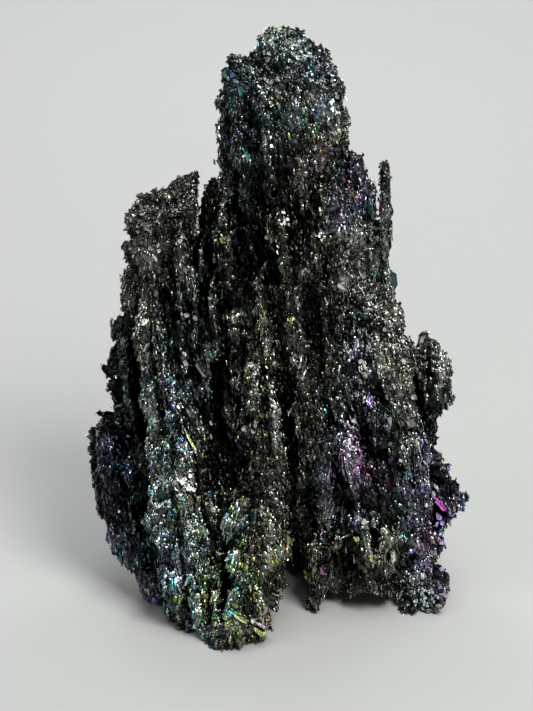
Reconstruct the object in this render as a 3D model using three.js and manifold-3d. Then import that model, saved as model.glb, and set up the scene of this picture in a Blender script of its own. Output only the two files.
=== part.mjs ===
// Rainbow hematite specimen: one upright cluster of black crystal columns, grown together.
//
// The cluster is a single body. Each of its masses is a rough upright core whose ridges lean,
// waver and break off, with a few larger shards fused to its side and crown. Clefts and hollows
// are cut between the masses, and flat crystals stand on the surface.
//
// Units are millimetres. +Z is up and the front faces -Y. The origin is the middle of the
// bounding box's bottom, in the plane of the feet that the specimen stands on.

import * as THREE from "three";
import { mergeVertices } from "three/addons/utils/BufferGeometryUtils.js";
import { MeshSurfaceSampler } from "three/addons/math/MeshSurfaceSampler.js";
import Module from "manifold-3d";

const wasm = await Module();
wasm.setup();

// ---------------------------------------------------------------- driving dimensions

const HEIGHT = 90; // from the feet to the tip of the tower
const LEAN = -0.15; // how far ridges and shards move along X for each mm that they rise

const CORE_INSET = 1; // how far a core's side lies inside the outline of its mass
const CORE_STEP = 8; // height of one facet of a core
const RIDGE_WIDTH = 4.9; // from one ridge of a core to the next
const RIDGE_DEPTH = 1; // how far ridges stand out, and how far the flutes between them go in
const RIDGE_RUN = 2; // how many facets long a ridge is before it breaks off
const RIDGE_SLIDE = 0.4; // the most that leaning moves a ridge, as a share of the half width
const ROUGHNESS = 0.45; // how far a core's single corners are off its ridges

const SHARD_SIDES = 5;
const SHARD_RADIUS = 2.1;
const SHARD_LENGTH = 14;
const SHARD_AREA = 900; // square millimetres of a mass's side for each shard on it
const STUMP_AREA = 60; // square millimetres of a mass's crown for each broken shard on it
const STUMP_ROOT = 5; // how deep a broken shard starts below the crown

const BLADES = 36; // the small blades on the surface, and the least and most of their sizes
const BLADE_WIDTH = [1.2, 2];
const BLADE_LENGTH = [2.6, 4.6];
const BLADE_THICKNESS = [0.7, 1.2];

const SIGHT_FALL = 25; // degrees by which the lines that seat the larger crystals fall
const GROUND_DEPTH = 200; // the block of ground that is cut away below the feet

const SEED = 25;
const GOLDEN_ANGLE = Math.PI * (3 - Math.sqrt(5));

// The masses. Each section is [z, x, y, half width, half depth] of the outline, from the
// mass's foot up. slope tilts the crown: its rise for each mm along +X and +Y. levels is the
// number of facets up its side, where CORE_STEP would make them too tall.
const MASSES = {
  tower: {
    slope: [0.1, 0.25],
    sections: [
      [38, 2.4, 0.5, 9.4, 9.5],
      [58, 2.0, 0.5, 9.8, 8.4],
      [76, 1.7, 0.5, 9.8, 7.6],
      [81, 1.4, 0.5, 9.5, 7.0],
      [84.3, 1.4, 0.6, 7.8, 5.8],
    ],
  },
  towerDome: {
    slope: [-0.1, 0.1],
    levels: 6,
    sections: [
      [74, 3.6, 0.6, 7.9, 6.6],
      [81, 4.0, 0.7, 8.2, 6.4],
      [85, 4.2, 0.8, 7.0, 5.6],
      [87.5, 3.8, 0.9, 5.6, 4.6],
      [89.2, 3.4, 1.0, 4.0, 2.8],
      [89.8, 3.4, 1.0, 2.4, 1.6],
    ],
  },
  leftPillar: {
    slope: [-0.2, 0.1],
    sections: [
      [18, -6.0, 1.0, 4.0, 7.0],
      [45, -6.8, 0.0, 5.6, 6.5],
      [57, -6.4, 0.0, 5.2, 6.0],
      [60, -5.4, 0.0, 4.0, 5.6],
      [66.5, -5.8, 0.3, 3.6, 5.0],
    ],
  },
  leftShoulder: {
    slope: [0.7, 0.2],
    sections: [
      [12, -15.5, -1.0, 6.5, 8.0],
      [35, -16.0, -0.5, 6.0, 7.5],
      [50, -15.2, 0.0, 6.2, 6.8],
      [57, -15.1, 0.0, 5.8, 6.3],
      [60, -15.0, 0.0, 5.6, 6.0],
      [64.2, -14.4, 0.2, 5.2, 5.6],
    ],
  },
  leftFlank: {
    slope: [0.3, 0.1],
    sections: [
      [26, -19.5, 0.5, 4.8, 6.0],
      [40, -19.3, 0.5, 4.5, 5.5],
      [48.5, -18.9, 0.5, 3.4, 4.2],
    ],
  },
  leftNub: {
    slope: [0, 0],
    sections: [
      [30, -22.2, 0.0, 2.8, 3.0],
      [35, -23.4, 0.0, 3.2, 3.0],
      [38.5, -23.6, 0.0, 2.8, 2.4],
    ],
  },
  leftLobe: {
    slope: [0.2, 0.1],
    sections: [
      [1, -15.0, -3.5, 4.0, 5.5],
      [5, -17.0, -2.0, 4.3, 6.0],
      [9, -19.0, -1.0, 5.1, 7.0],
      [15, -20.6, 0.0, 6.7, 7.5],
      [22, -20.9, 0.0, 6.8, 7.5],
      [27, -21.0, 0.0, 6.3, 6.8],
      [30.5, -21.3, 0.0, 5.0, 5.0],
    ],
  },
  leftApron: {
    slope: [-0.3, 1.1],
    sections: [
      [0, -11.0, -9.0, 5.5, 6.5],
      [8, -12.5, -8.0, 6.5, 7.5],
      [20, -13.0, -6.5, 6.2, 7.0],
      [32, -12.8, -5.0, 5.4, 6.2],
      [41, -12.8, -3.5, 3.6, 4.4],
    ],
  },
  frontRidge: {
    slope: [-0.4, 1.1],
    sections: [
      [0, -4.5, -13.5, 5.0, 6.5],
      [7, -3.2, -12.0, 6.2, 7.5],
      [16, -1.0, -10.0, 5.0, 6.5],
      [28, -0.2, -8.5, 4.2, 6.0],
      [38, -0.8, -7.5, 3.6, 5.5],
      [46.5, -2.2, -5.5, 2.4, 3.6],
    ],
  },
  rightRidge: {
    slope: [0.5, 0.8],
    sections: [
      [20, 6.5, -3.0, 6.5, 8.0],
      [46, 5.2, -3.0, 6.8, 7.5],
      [58, 6.8, -2.5, 5.8, 6.8],
      [68, 8.0, -1.5, 4.6, 5.5],
      [71, 8.5, -0.5, 3.2, 4.0],
    ],
  },
  rightStep: {
    slope: [0, 0.2],
    sections: [
      [45, 11.5, 0.0, 3.2, 4.0],
      [62, 12.0, 0.5, 2.3, 3.2],
      [71.5, 12.2, 0.8, 1.6, 2.2],
    ],
  },
  rightSlope: {
    slope: [-0.4, 0.5],
    sections: [
      [8, 15.5, -1.0, 7.0, 8.0],
      [25, 15.5, -1.0, 6.8, 7.8],
      [37, 15.6, -1.0, 6.6, 7.0],
      [43, 15.6, -0.5, 5.6, 6.2],
      [50, 14.6, 0.0, 4.4, 5.0],
    ],
  },
  rightApron: {
    slope: [0.2, 1.0],
    sections: [
      [2.5, 15.5, -4.0, 8.0, 5.5],
      [10, 15.5, -4.5, 8.5, 6.5],
      [22, 14.5, -4.5, 8.0, 6.5],
      [34, 13.5, -4.0, 6.8, 6.0],
      [44, 12.8, -2.5, 4.4, 4.4],
    ],
  },
  rightShoulder: {
    slope: [0, 0.2],
    sections: [
      [6, 23.0, -1.0, 4.8, 6.5],
      [18, 22.4, -0.5, 4.5, 6.2],
      [27, 23.2, 0.0, 5.2, 6.0],
      [33, 24.0, 0.0, 5.8, 6.0],
      [39, 24.2, 0.0, 5.0, 5.2],
      [41.5, 24.2, 0.0, 3.2, 4.0],
    ],
  },
  rightLobe: {
    slope: [0, 0],
    sections: [
      [0, 22.6, -6.0, 3.9, 3.2],
      [4, 24.0, -3.0, 3.6, 5.2],
      [12, 25.3, -0.5, 3.8, 5.8],
      [17, 26.5, 0.0, 4.6, 5.0],
      [20.5, 26.0, 0.0, 3.0, 3.6],
    ],
  },
  spire: {
    slope: [0, 0],
    sections: [
      [42, 16.0, 0.0, 2.6, 3.0],
      [52, 16.5, 0.0, 2.0, 2.6],
      [60, 16.7, 0.0, 1.8, 2.2],
      [67, 17.0, 0.0, 1.2, 1.5],
      [70.6, 17.0, 0.0, 0.6, 0.7],
    ],
  },
  spireSide: {
    slope: [0, 0],
    sections: [
      [48, 14.8, 0.4, 2.2, 2.4],
      [60, 14.5, 0.4, 1.9, 2.0],
      [65, 14.8, 0.4, 1.1, 1.2],
      [67.5, 14.8, 0.5, 0.6, 0.7],
    ],
  },
  rightNub: {
    slope: [0, 0],
    sections: [
      [12, 27.2, 0.0, 2.4, 3.0],
      [16, 28.0, 0.0, 2.5, 2.8],
      [19.5, 27.8, 0.0, 1.8, 2.0],
    ],
  },
  rightFootNub: {
    slope: [0, 0],
    sections: [
      [0.5, 26.6, -2.0, 1.6, 2.5],
      [2.5, 27.6, -1.0, 1.6, 2.2],
      [4.5, 27.2, -1.0, 1.2, 1.6],
    ],
  },
  tooth: {
    slope: [0, 0],
    sections: [
      [0, 7.0, -7.0, 1.3, 1.6],
      [4, 7.4, -6.5, 2.2, 2.6],
      [12, 8.0, -5.5, 3.5, 4.0],
    ],
  },
  backButtress: {
    slope: [0, -0.3],
    sections: [
      [0, 1.5, 9.5, 11.0, 6.5],
      [10, 1.0, 9.0, 14.0, 8.0],
      [28, 0.0, 7.5, 13.0, 7.5],
      [44, 0.5, 6.0, 9.5, 6.0],
      [56, 1.5, 5.0, 6.5, 5.0],
    ],
  },
  backRightFoot: {
    slope: [0, -0.3],
    sections: [
      [0, 15.0, 8.5, 6.0, 5.5],
      [14, 16.0, 7.5, 7.0, 6.5],
      [30, 15.0, 6.0, 6.0, 6.0],
      [37, 14.5, 5.0, 4.0, 4.0],
    ],
  },
};

// The clefts and hollows between the masses. at is a hollow's middle, half its half size, and
// lean how far it moves along X for each mm that it rises.
const HOLLOWS = [
  { name: "cavern", at: [-6.8, -9.0, 32], half: [2.9, 6.5, 13], lean: -0.05 },
  { name: "slanting cleft", at: [-2.3, -8.8, 58], half: [1.8, 3.6, 14], lean: 0.3 },
  { name: "arch", at: [3.9, -6, 0], half: [2.0, 10.5, 7.5], lean: 0 },
  { name: "right cleft", at: [11.5, -9.5, 46], half: [1.1, 3.0, 10], lean: 0 },
  { name: "middle cleft", at: [6.4, -9.5, 19], half: [1.5, 4.0, 5], lean: -0.1 },
  { name: "left cleft", at: [-6.6, -15.0, 10], half: [1.0, 4.0, 9], lean: 0 },
  { name: "hole", at: [16.3, -10.5, 13.5], half: [1.4, 3.5, 2.6], lean: 0 },
  { name: "right hollow", at: [22, -8.0, 8.5], half: [1.6, 3.5, 3], lean: 0 },
  { name: "tower dent", at: [5.2, -7.5, 75.5], half: [1.5, 2.0, 2.5], lean: -0.2 },
  { name: "ledge", at: [14, -11.5, 0.5], half: [5.5, 5.5, 5], lean: 0 },
];

// The larger crystals on the front: where a line that falls by SIGHT_FALL towards the back
// crosses y 0, and the crystal's width, length and thickness. It stands where the line meets
// the cluster.
const CRYSTALS = [
  { name: "tower knob", at: [-5.9, 86.2], size: [2.4, 2.8, 2.0], turn: -20 },
  { name: "tower knob side", at: [-4.4, 85.0], size: [1.8, 3.0, 1.4], turn: 50 },
  { name: "tower blue face", at: [-5.0, 82.0], size: [1.3, 1.8, 0.7], turn: 10 },
  { name: "tower teal blade", at: [-3.7, 79.7], size: [1.1, 2.8, 0.6], turn: 25 },
  { name: "tower grey plate", at: [7.0, 77.6], size: [3.4, 3.8, 1.0], turn: 30 },
  { name: "step plate", at: [10.9, 67.0], size: [1.4, 2.6, 0.6], turn: 10 },
  { name: "side plate", at: [18.5, 50.4], size: [2.2, 3.4, 0.7], turn: -5 },
  { name: "left blade", at: [-10.1, 36.7], size: [0.9, 3.6, 0.6], turn: 35 },
  { name: "olive face", at: [-0.7, 29.8], size: [1.5, 2.0, 0.8], turn: 20 },
  { name: "blue face", at: [-3.7, 24.8], size: [1.4, 2.2, 0.7], turn: -30 },
  { name: "magenta face", at: [18.5, 19.0], size: [1.8, 3.2, 0.8], turn: 5 },
  { name: "purple blade", at: [25.9, 14.9], size: [1.2, 3.4, 0.7], turn: 30 },
  { name: "lavender plate", at: [26.3, 12.0], size: [1.8, 2.4, 0.7], turn: -15 },
  { name: "green plate", at: [1.7, 7.5], size: [1.8, 3.0, 0.8], turn: 10 },
  { name: "green blade", at: [2.9, 8.0], size: [1.2, 3.2, 0.7], turn: -5 },
  { name: "foot yellow plate", at: [-4.3, -3.0], size: [1.6, 3.0, 0.7], turn: 55 },
  { name: "foot yellow blade", at: [-1.1, -4.5], size: [1.2, 3.4, 0.6], turn: 65 },
  { name: "right foot cluster", at: [25.9, -1.4], size: [2.6, 3.0, 2.0], turn: 20 },
  { name: "right foot plate", at: [24.6, -2.6], size: [2.0, 2.4, 1.0], turn: -40 },
  { name: "right nub", at: [29.4, 2.0], size: [1.8, 2.2, 1.6], turn: 40 },
];

// ---------------------------------------------------------------- helpers

/** A seeded source of even random numbers from 0 to 1. */
function randomFrom(seed) {
  let state = seed >>> 0;
  return () => {
    state = (state + 0x6d2b79f5) >>> 0;
    let t = state;
    t = Math.imul(t ^ (t >>> 15), t | 1);
    t ^= t + Math.imul(t ^ (t >>> 7), t | 61);
    return ((t ^ (t >>> 14)) >>> 0) / 4294967296;
  };
}

let random = randomFrom(SEED);
const between = (low, high) => low + (high - low) * random();
const { lerp, clamp, smoothstep, degToRad } = THREE.MathUtils;

/** The geometry with its shared corners merged, which closes a three.js primitive. */
function closed(geometry) {
  const bare = geometry.clone();
  bare.deleteAttribute("normal");
  bare.deleteAttribute("uv");
  return mergeVertices(bare, 1e-4);
}

/** A manifold-3d solid with the geometry's faces. */
function solidOf(geometry) {
  const merged = closed(geometry);
  return new wasm.Manifold(
    new wasm.Mesh({
      numProp: 3,
      vertProperties: merged.attributes.position.array,
      triVerts: new Uint32Array(merged.index.array),
    }),
  );
}

/** A BufferGeometry with the solid's faces. */
function geometryOf(solid) {
  const mesh = solid.getMesh();
  const geometry = new THREE.BufferGeometry();
  geometry.setAttribute("position", new THREE.BufferAttribute(mesh.vertProperties, 3));
  geometry.setIndex(new THREE.BufferAttribute(mesh.triVerts, 1));
  return geometry;
}

/** An upright prism from z 0 to 1 with a section of radius 1, closed at both ends. */
function prism(sides, levels) {
  const geometry = closed(new THREE.CylinderGeometry(1, 1, 1, sides, levels));
  return geometry.rotateX(Math.PI / 2).translate(0, 0, 0.5);
}

/** Moves every corner of the geometry to where place(corner) puts it. */
function reshape(geometry, place) {
  const position = geometry.attributes.position;
  const corner = new THREE.Vector3();
  for (let i = 0; i < position.count; i++) {
    corner.fromBufferAttribute(position, i);
    place(corner);
    position.setXYZ(i, corner.x, corner.y, corner.z);
  }
  return geometry;
}

// ---------------------------------------------------------------- a mass's outline

/** A mass's outline at height z, between the two sections that it lies between. */
function outlineAt(sections, z) {
  const last = sections.length - 1;
  const above = clamp(sections.findIndex((section) => section[0] > z), 1, last);
  const upper = z >= sections[last][0] ? last : above;
  const [low, high] = [sections[upper - 1], sections[upper]];
  const share = clamp((z - low[0]) / (high[0] - low[0]), 0, 1);
  const [x, y, halfWidth, halfDepth] = [1, 2, 3, 4].map((i) => lerp(low[i], high[i], share));
  return { x, y, halfWidth, halfDepth };
}

/** A mass's foot and crown heights, and its outline half way between them. */
function extentOf({ sections }) {
  const foot = sections[0][0];
  const crown = sections[sections.length - 1][0];
  const middle = outlineAt(sections, (foot + crown) / 2);
  return { foot, crown, middle, round: Math.PI * (middle.halfWidth + middle.halfDepth) };
}

/** The point of a mass's outline at an angle and a height, moved in by the given distance. */
function rim(mass, angle, z, inward) {
  const { x, y, halfWidth, halfDepth } = outlineAt(mass.sections, z);
  const point = new THREE.Vector3(x, y, z);
  point.x += Math.cos(angle) * Math.max(0, halfWidth - inward);
  point.y += Math.sin(angle) * Math.max(0, halfDepth - inward);
  return point;
}

/** How far the crown's tilt raises a point of a mass. */
function tilt({ slope, sections }, x, y, z) {
  const [crown, middleX, middleY] = sections[sections.length - 1];
  const share = smoothstep(z, crown - SHARD_LENGTH, crown);
  return share * (slope[0] * (x - middleX) + slope[1] * (y - middleY));
}

// ---------------------------------------------------------------- growth

/** Moves a corner of the unit circle along the circle, so that it shifts along X. */
function slide(corner, shift) {
  const along = clamp(corner.x + shift * (1 - corner.x ** 2), -1, 1);
  corner.y = Math.sign(corner.y) * Math.sqrt(1 - along ** 2);
  corner.x = along;
}

/** The rough core of a mass, fluted by leaning ridges that waver and break off. */
function core(mass) {
  const { foot, crown, round } = extentOf(mass);
  const height = crown - foot;
  const sides = 2 * Math.max(4, Math.round(round / RIDGE_WIDTH));
  const levels = mass.levels ?? Math.max(2, Math.round(height / CORE_STEP));
  const breaks = Array.from({ length: sides }, () => between(0, RIDGE_RUN));
  const heights = Array.from({ length: sides * (levels + 1) }, () => between(0.1, 1.2));

  const geometry = reshape(prism(sides, levels), (corner) => {
    const level = Math.round(corner.z * levels);
    const isEnd = level === 0 || level === levels;
    const z = foot + (level + (isEnd ? 0 : between(-0.35, 0.35))) * (height / levels);
    const { x, y, halfWidth, halfDepth } = outlineAt(mass.sections, z);
    const isMiddle = Math.hypot(corner.x, corner.y) < 0.5;
    let inset = 0;
    if (!isMiddle) {
      const turns = Math.atan2(corner.y, corner.x) / (2 * Math.PI);
      const side = Math.round(turns * sides + sides) % sides;
      const run = Math.floor((level + breaks[side]) / RIDGE_RUN);
      const ridge = (side % 2 ? -1 : 1) * heights[side + sides * run] * RIDGE_DEPTH;
      inset = CORE_INSET - ridge + between(-ROUGHNESS, ROUGHNESS);
      const shift = (LEAN * (z - foot - height / 2)) / halfWidth;
      slide(corner, clamp(shift, -RIDGE_SLIDE, RIDGE_SLIDE));
    }
    corner.x = x + corner.x * Math.max(0.4, halfWidth - inset);
    corner.y = y + corner.y * Math.max(0.4, halfDepth - inset);
    corner.z = z + tilt(mass, corner.x, corner.y, z);
  });
  return solidOf(geometry);
}

/** One shard from foot to top, widest at its middle, with a slanted break at its top. */
function shard(foot, top, radius) {
  const turn = between(0, Math.PI);
  const widths = [between(0.3, 0.6), between(0.9, 1.1), between(0.5, 0.85)];
  const flatness = between(0.65, 1);
  const slant = between(-0.9, 0.9);
  const geometry = reshape(prism(SHARD_SIDES, 2), (corner) => {
    const level = Math.round(corner.z * 2);
    const u = corner.x * radius * widths[level];
    const v = corner.y * radius * widths[level] * flatness;
    corner.x = lerp(foot.x, top.x, corner.z) + u * Math.cos(turn) - v * Math.sin(turn);
    corner.y = lerp(foot.y, top.y, corner.z) + u * Math.sin(turn) + v * Math.cos(turn);
    corner.z = lerp(foot.z, top.z, corner.z) + (level === 2 ? slant * u : 0);
  });
  return solidOf(geometry);
}

/** The shards fused to a mass's side, spread round it and up it. */
function sideShards(mass) {
  const { foot, crown, middle, round } = extentOf(mass);
  const count = Math.round((round * (crown - foot)) / SHARD_AREA);
  return Array.from({ length: count }, (_, i) => {
    const angle = i * GOLDEN_ANGLE + between(-0.3, 0.3);
    const length = SHARD_LENGTH * between(0.65, 1.35);
    const low = Math.max(lerp(foot, crown, (i + 0.5) / count) - length / 2, foot - 1);
    const high = Math.min(low + length, crown + between(-1.5, 1));
    const radius = Math.min(SHARD_RADIUS * between(0.75, 1.25), middle.halfWidth * 0.7);
    const start = rim(mass, angle, low, radius);
    const end = rim(mass, angle, high, radius);
    start.x -= (LEAN * length) / 2;
    end.x += (LEAN * length) / 2;
    end.z += tilt(mass, end.x, end.y, high);
    return shard(start, end, radius);
  });
}

/** The short shards that stand broken off on a mass's crown. */
function crownShards(mass) {
  const [crown, , , halfWidth, halfDepth] = mass.sections[mass.sections.length - 1];
  const count = Math.round((Math.PI * halfWidth * halfDepth) / STUMP_AREA);
  return Array.from({ length: count }, () => {
    const radius = SHARD_RADIUS * between(0.6, 0.95);
    const angle = between(0, 2 * Math.PI);
    const start = rim(mass, angle, crown - STUMP_ROOT, between(radius, halfWidth));
    const end = start.clone();
    end.x += LEAN * STUMP_ROOT;
    end.z = crown + between(-0.2, 1.6) + tilt(mass, end.x, end.y, crown);
    return shard(start, end, radius);
  });
}

/** A rough hollow, to be cut out. */
function hollow({ at, half, lean }) {
  const geometry = reshape(closed(new THREE.IcosahedronGeometry(1, 1)), (corner) => {
    corner.multiplyScalar(between(0.88, 1.12));
    const rise = corner.z * half[2];
    corner.x = at[0] + corner.x * half[0] + rise * lean;
    corner.y = at[1] + corner.y * half[1];
    corner.z = at[2] + rise;
  });
  return solidOf(geometry);
}

// ---------------------------------------------------------------- crystals

/** A six-sided plate of unit size, flat towards +Z. */
const plate = closed(new THREE.CylinderGeometry(0.86, 1, 2, 6)).rotateX(Math.PI / 2);

/** A blade of unit size that tapers to both ends. */
const blade = closed(new THREE.OctahedronGeometry(1));

/** A crystal of the given form, its length along one line and its flat side facing outward. */
function crystal(form, point, along, outward, [width, length, thickness]) {
  const across = new THREE.Vector3().crossVectors(along, outward).normalize();
  const facing = new THREE.Vector3().crossVectors(across, along).normalize();
  const place = new THREE.Matrix4().makeBasis(across, along, facing);
  place.scale(new THREE.Vector3(width / 2, length / 2, thickness / 2));
  place.setPosition(point);
  return solidOf(form.clone().applyMatrix4(place));
}

/** The larger crystals, each seated where its line from the front meets the surface. */
function largeCrystals(surface) {
  const fall = degToRad(SIGHT_FALL);
  const line = new THREE.Vector3(0, Math.cos(fall), -Math.sin(fall));
  return CRYSTALS.flatMap(({ at, size, turn }) => {
    const start = new THREE.Vector3(at[0], 0, at[1]).addScaledVector(line, -HEIGHT);
    const [hit] = new THREE.Raycaster(start, line).intersectObject(surface);
    if (!hit) return [];
    const angle = degToRad(turn);
    const along = new THREE.Vector3(-Math.sin(angle), 0, Math.cos(angle));
    const outward = hit.face.normal.clone().sub(line).normalize();
    return [crystal(plate, hit.point, along, outward, size)];
  });
}

/** Small blades spread over the whole surface, leaning as the shards do. */
function smallBlades(surface) {
  const sampler = new MeshSurfaceSampler(surface).setRandomGenerator(random).build();
  return Array.from({ length: BLADES }, () => {
    const [point, outward] = [new THREE.Vector3(), new THREE.Vector3()];
    sampler.sample(point, outward);
    const along = new THREE.Vector3(LEAN + between(-0.3, 0.3), between(-0.3, 0.3), 1);
    along.addScaledVector(outward, between(0.2, 0.6)).normalize();
    const size = [BLADE_WIDTH, BLADE_LENGTH, BLADE_THICKNESS].map((range) => between(...range));
    return crystal(blade, point, along, outward, size);
  });
}

// ---------------------------------------------------------------- the specimen

const grown = Object.values(MASSES).flatMap((mass, i) => {
  random = randomFrom(SEED + i);
  return [core(mass), ...sideShards(mass), ...crownShards(mass)];
});
const cluster = wasm.Manifold.union(grown).subtract(wasm.Manifold.union(HOLLOWS.map(hollow)));
const surface = new THREE.Mesh(geometryOf(cluster));
const crystals = [...largeCrystals(surface), ...smallBlades(surface)];

// The feet are flat where the specimen stands.
const block = new THREE.BoxGeometry(GROUND_DEPTH, GROUND_DEPTH, GROUND_DEPTH);
const ground = solidOf(block.translate(0, 0, -GROUND_DEPTH / 2));
const joined = wasm.Manifold.union([cluster, ...crystals]).subtract(ground);

// Only the outer skin is kept, so that no pocket is sealed inside and no crumb lies loose.
const [specimen] = joined.decompose().sort((a, b) => b.volume() - a.volume());

const geometry = geometryOf(specimen);
geometry.computeBoundingBox();
const middle = geometry.boundingBox.getCenter(new THREE.Vector3());
const growth = HEIGHT / geometry.boundingBox.max.z;
geometry.translate(-middle.x, -middle.y, 0).scale(growth, growth, growth);

const material = new THREE.MeshStandardMaterial({ color: 0x1c1c20, metalness: 0.7, roughness: 0.3 });
const mesh = new THREE.Mesh(geometry, material);
mesh.name = "specimen";
const group = new THREE.Group();
group.add(mesh);
export default group;
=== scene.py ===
"""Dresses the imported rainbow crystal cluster: a ridged skin, a crust of tiny crystals and show crystals.

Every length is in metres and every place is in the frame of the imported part, with its feet at z 0,
+X to the right and -Y towards the front.
"""

import logging
import math
from dataclasses import dataclass, field
from enum import Enum

import bpy
import numpy as np
from mathutils import Matrix, Vector
from mathutils.bvhtree import BVHTree


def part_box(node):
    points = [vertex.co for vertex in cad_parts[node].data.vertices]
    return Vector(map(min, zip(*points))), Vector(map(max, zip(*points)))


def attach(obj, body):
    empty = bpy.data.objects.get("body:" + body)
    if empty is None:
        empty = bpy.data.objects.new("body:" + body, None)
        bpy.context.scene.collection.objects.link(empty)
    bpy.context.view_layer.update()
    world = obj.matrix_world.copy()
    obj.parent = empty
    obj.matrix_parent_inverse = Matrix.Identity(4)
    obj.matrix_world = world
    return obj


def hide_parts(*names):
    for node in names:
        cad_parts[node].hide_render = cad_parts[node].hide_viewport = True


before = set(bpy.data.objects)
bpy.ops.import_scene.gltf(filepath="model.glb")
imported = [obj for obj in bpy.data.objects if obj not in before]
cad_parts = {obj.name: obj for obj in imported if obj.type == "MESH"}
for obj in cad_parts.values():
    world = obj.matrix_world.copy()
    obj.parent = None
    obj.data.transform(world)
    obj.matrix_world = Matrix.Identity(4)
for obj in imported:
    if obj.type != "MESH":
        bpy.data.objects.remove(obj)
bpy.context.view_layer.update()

logging.basicConfig(level=logging.INFO, format="%(message)s")
log = logging.getLogger("crystal cluster")

MM = 0.001
NODE = "specimen"
BODY = "root"
LEAN = -0.15  # how far the fibres move along X for each unit that they rise
BACK_FADE = 20 * MM  # the depth in which a zone's tarnish would fade from whole to nothing
MIDDLE_PULL = 0.7  # how much of it is left at y 0
LEAST_PULL = 0.3  # and the least that is left, further back
SHUT_IN_SHADE = 1.15  # how fast the painted shade darkens the crystals towards the bottom of a cleft
CLOUD_SIZES = (4 * MM, 1.8 * MM)  # how far apart the lighter and darker places lie
CLOUD_CONTRAST = 0.5  # how much lighter and darker they are
CELL_MARGIN = 0.15  # how much of a map's cell stays empty at each edge
SIDES = ("left", "front", "right", "back")  # in the order that they come round the cluster


class Pattern:
    """The numbers that pick each random pattern out of many."""

    SKIN = 5
    LUMPS = 31
    KNOBS = 33
    GROWTH = 61
    LIGHT = 71


# ---------------------------------------------------------------- random patterns


def unit(vectors: np.ndarray) -> np.ndarray:
    """The same directions with length 1."""
    return vectors / np.maximum(np.linalg.norm(vectors, axis=-1, keepdims=True), 1e-9)


def scattered(cells: np.ndarray, seed: int) -> np.ndarray:
    """Gives each whole-numbered cell its own fixed random number.

    Args:
        cells: Whole numbers, one row for each cell.
        seed: Picks one of many patterns.

    Returns:
        One number from 0 to 1 for each row.
    """
    primes = np.array([73856093, 19349663, 83492791], np.uint64)[: cells.shape[-1]]
    whole = cells.astype(np.int64).astype(np.uint64)
    mixed = (whole * primes).sum(-1) + np.uint64(seed * 2654435761 % 2**32)
    for shift in (15, 13, 16):
        mixed = (mixed ^ (mixed >> np.uint64(shift))) * np.uint64(0x45D9F3B)
    return (mixed >> np.uint64(20) & np.uint64(0xFFFFF)) / float(0xFFFFF)


def clouds(places: np.ndarray, size: float, seed: int) -> np.ndarray:
    """Smooth random hills and dips.

    Args:
        places: Points, one row each.
        size: The distance from one hill to the next.
        seed: Picks one of many patterns.

    Returns:
        One number from -1 to 1 for each point.
    """
    scaled = places / size
    low = np.floor(scaled)
    part = scaled - low
    part = part * part * (3 - 2 * part)
    total = np.zeros(len(places))
    for corner in np.ndindex(2, 2, 2):
        weight = np.prod(np.where(corner, part, 1 - part), axis=1)
        total += weight * scattered(low + corner, seed)
    return total * 2 - 1


def by_side(places: np.ndarray) -> list[tuple[str, np.ndarray]]:
    """Splits points round the cluster into its sides, with as many points in each.

    Args:
        places: Points, one row each.

    Returns:
        Each side's name and the numbers of its points.
    """
    order = np.argsort(np.arctan2(places[:, 1], places[:, 0]))
    return list(zip(SIDES, np.array_split(order, len(SIDES))))


def seed_at(across: float, up: float) -> int:
    """A start for chance that belongs to one place of the view, in mm, and to no other."""
    return 1000 * round(10 * (across + 90)) + round(10 * (up + 90))


@dataclass(frozen=True)
class Fibres:
    """Fibres packed side by side, each broken off in steps like overlapping splinters."""

    width: float
    run: float
    relief: float
    groove: float
    groove_width: float
    seed: int
    break_share: float = 0.12
    sway: float = 0.5
    drawn_out: tuple[float, float, float] = (1, 1, 0.5)
    shortest_run: float = 0.6
    run_spread: float = 0.8
    groove_share: float = 0.55
    groove_spread: float = 0.6
    unevenness: float = 0.8

    def relief_at(self, places: np.ndarray) -> np.ndarray:
        """How far the fibres stand out from the surface.

        Args:
            places: Points on the surface, one row each.

        Returns:
            One distance for each point, below 0 in the grooves.
        """
        upright = places * self.drawn_out
        sideways, inward = (clouds(upright, 3 * self.width, self.seed + i) for i in (1, 2))
        across = np.stack(
            [
                places[:, 0] - LEAN * places[:, 2] + self.sway * self.width * sideways,
                places[:, 1] + self.sway * self.width * inward,
            ],
            axis=1,
        )
        own, nearest, second = self.fibre_at(across / self.width)
        phase = scattered(own, self.seed + 3)
        run = self.run * (self.shortest_run + self.run_spread * scattered(own, self.seed + 4))
        part = np.mod(places[:, 2] / run + phase, 1)
        rise = np.minimum(part / (1 - self.break_share), (1 - part) / self.break_share)
        rim = (second - nearest) / self.groove_width
        broken = clouds(upright, 2 * self.width, self.seed + 8)
        broken = self.groove_share + self.groove_spread * broken
        stand = self.unevenness * (scattered(own, self.seed + 5) - 0.5)
        stand = stand + self.unevenness * (rise - 0.5)
        sunk = self.groove * np.exp(-(rim**2)) * np.clip(broken, 0, 1)
        return self.relief * stand * np.clip(rim, 0, 1) - sunk

    def fibre_at(self, across: np.ndarray) -> tuple[np.ndarray, np.ndarray, np.ndarray]:
        """Finds the fibre that each point lies in.

        Args:
            across: Points across the fibres, in fibre widths.

        Returns:
            The fibre's cell, and the distances to the nearest and the second nearest middle.
        """
        cell = np.floor(across)
        nearest = np.full(len(across), np.inf)
        second = np.full(len(across), np.inf)
        own = np.zeros_like(cell)
        for step in np.ndindex(3, 3):
            other = cell + np.array(step) - 1
            jitter = [scattered(other, self.seed + 6), scattered(other, self.seed + 7)]
            gap = np.linalg.norm(other + np.stack(jitter, axis=1) - across, axis=1)
            closer = gap < nearest
            second = np.where(closer, nearest, np.minimum(second, gap))
            own = np.where(closer[:, None], other, own)
            nearest = np.minimum(nearest, gap)
        return own, nearest, second
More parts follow.
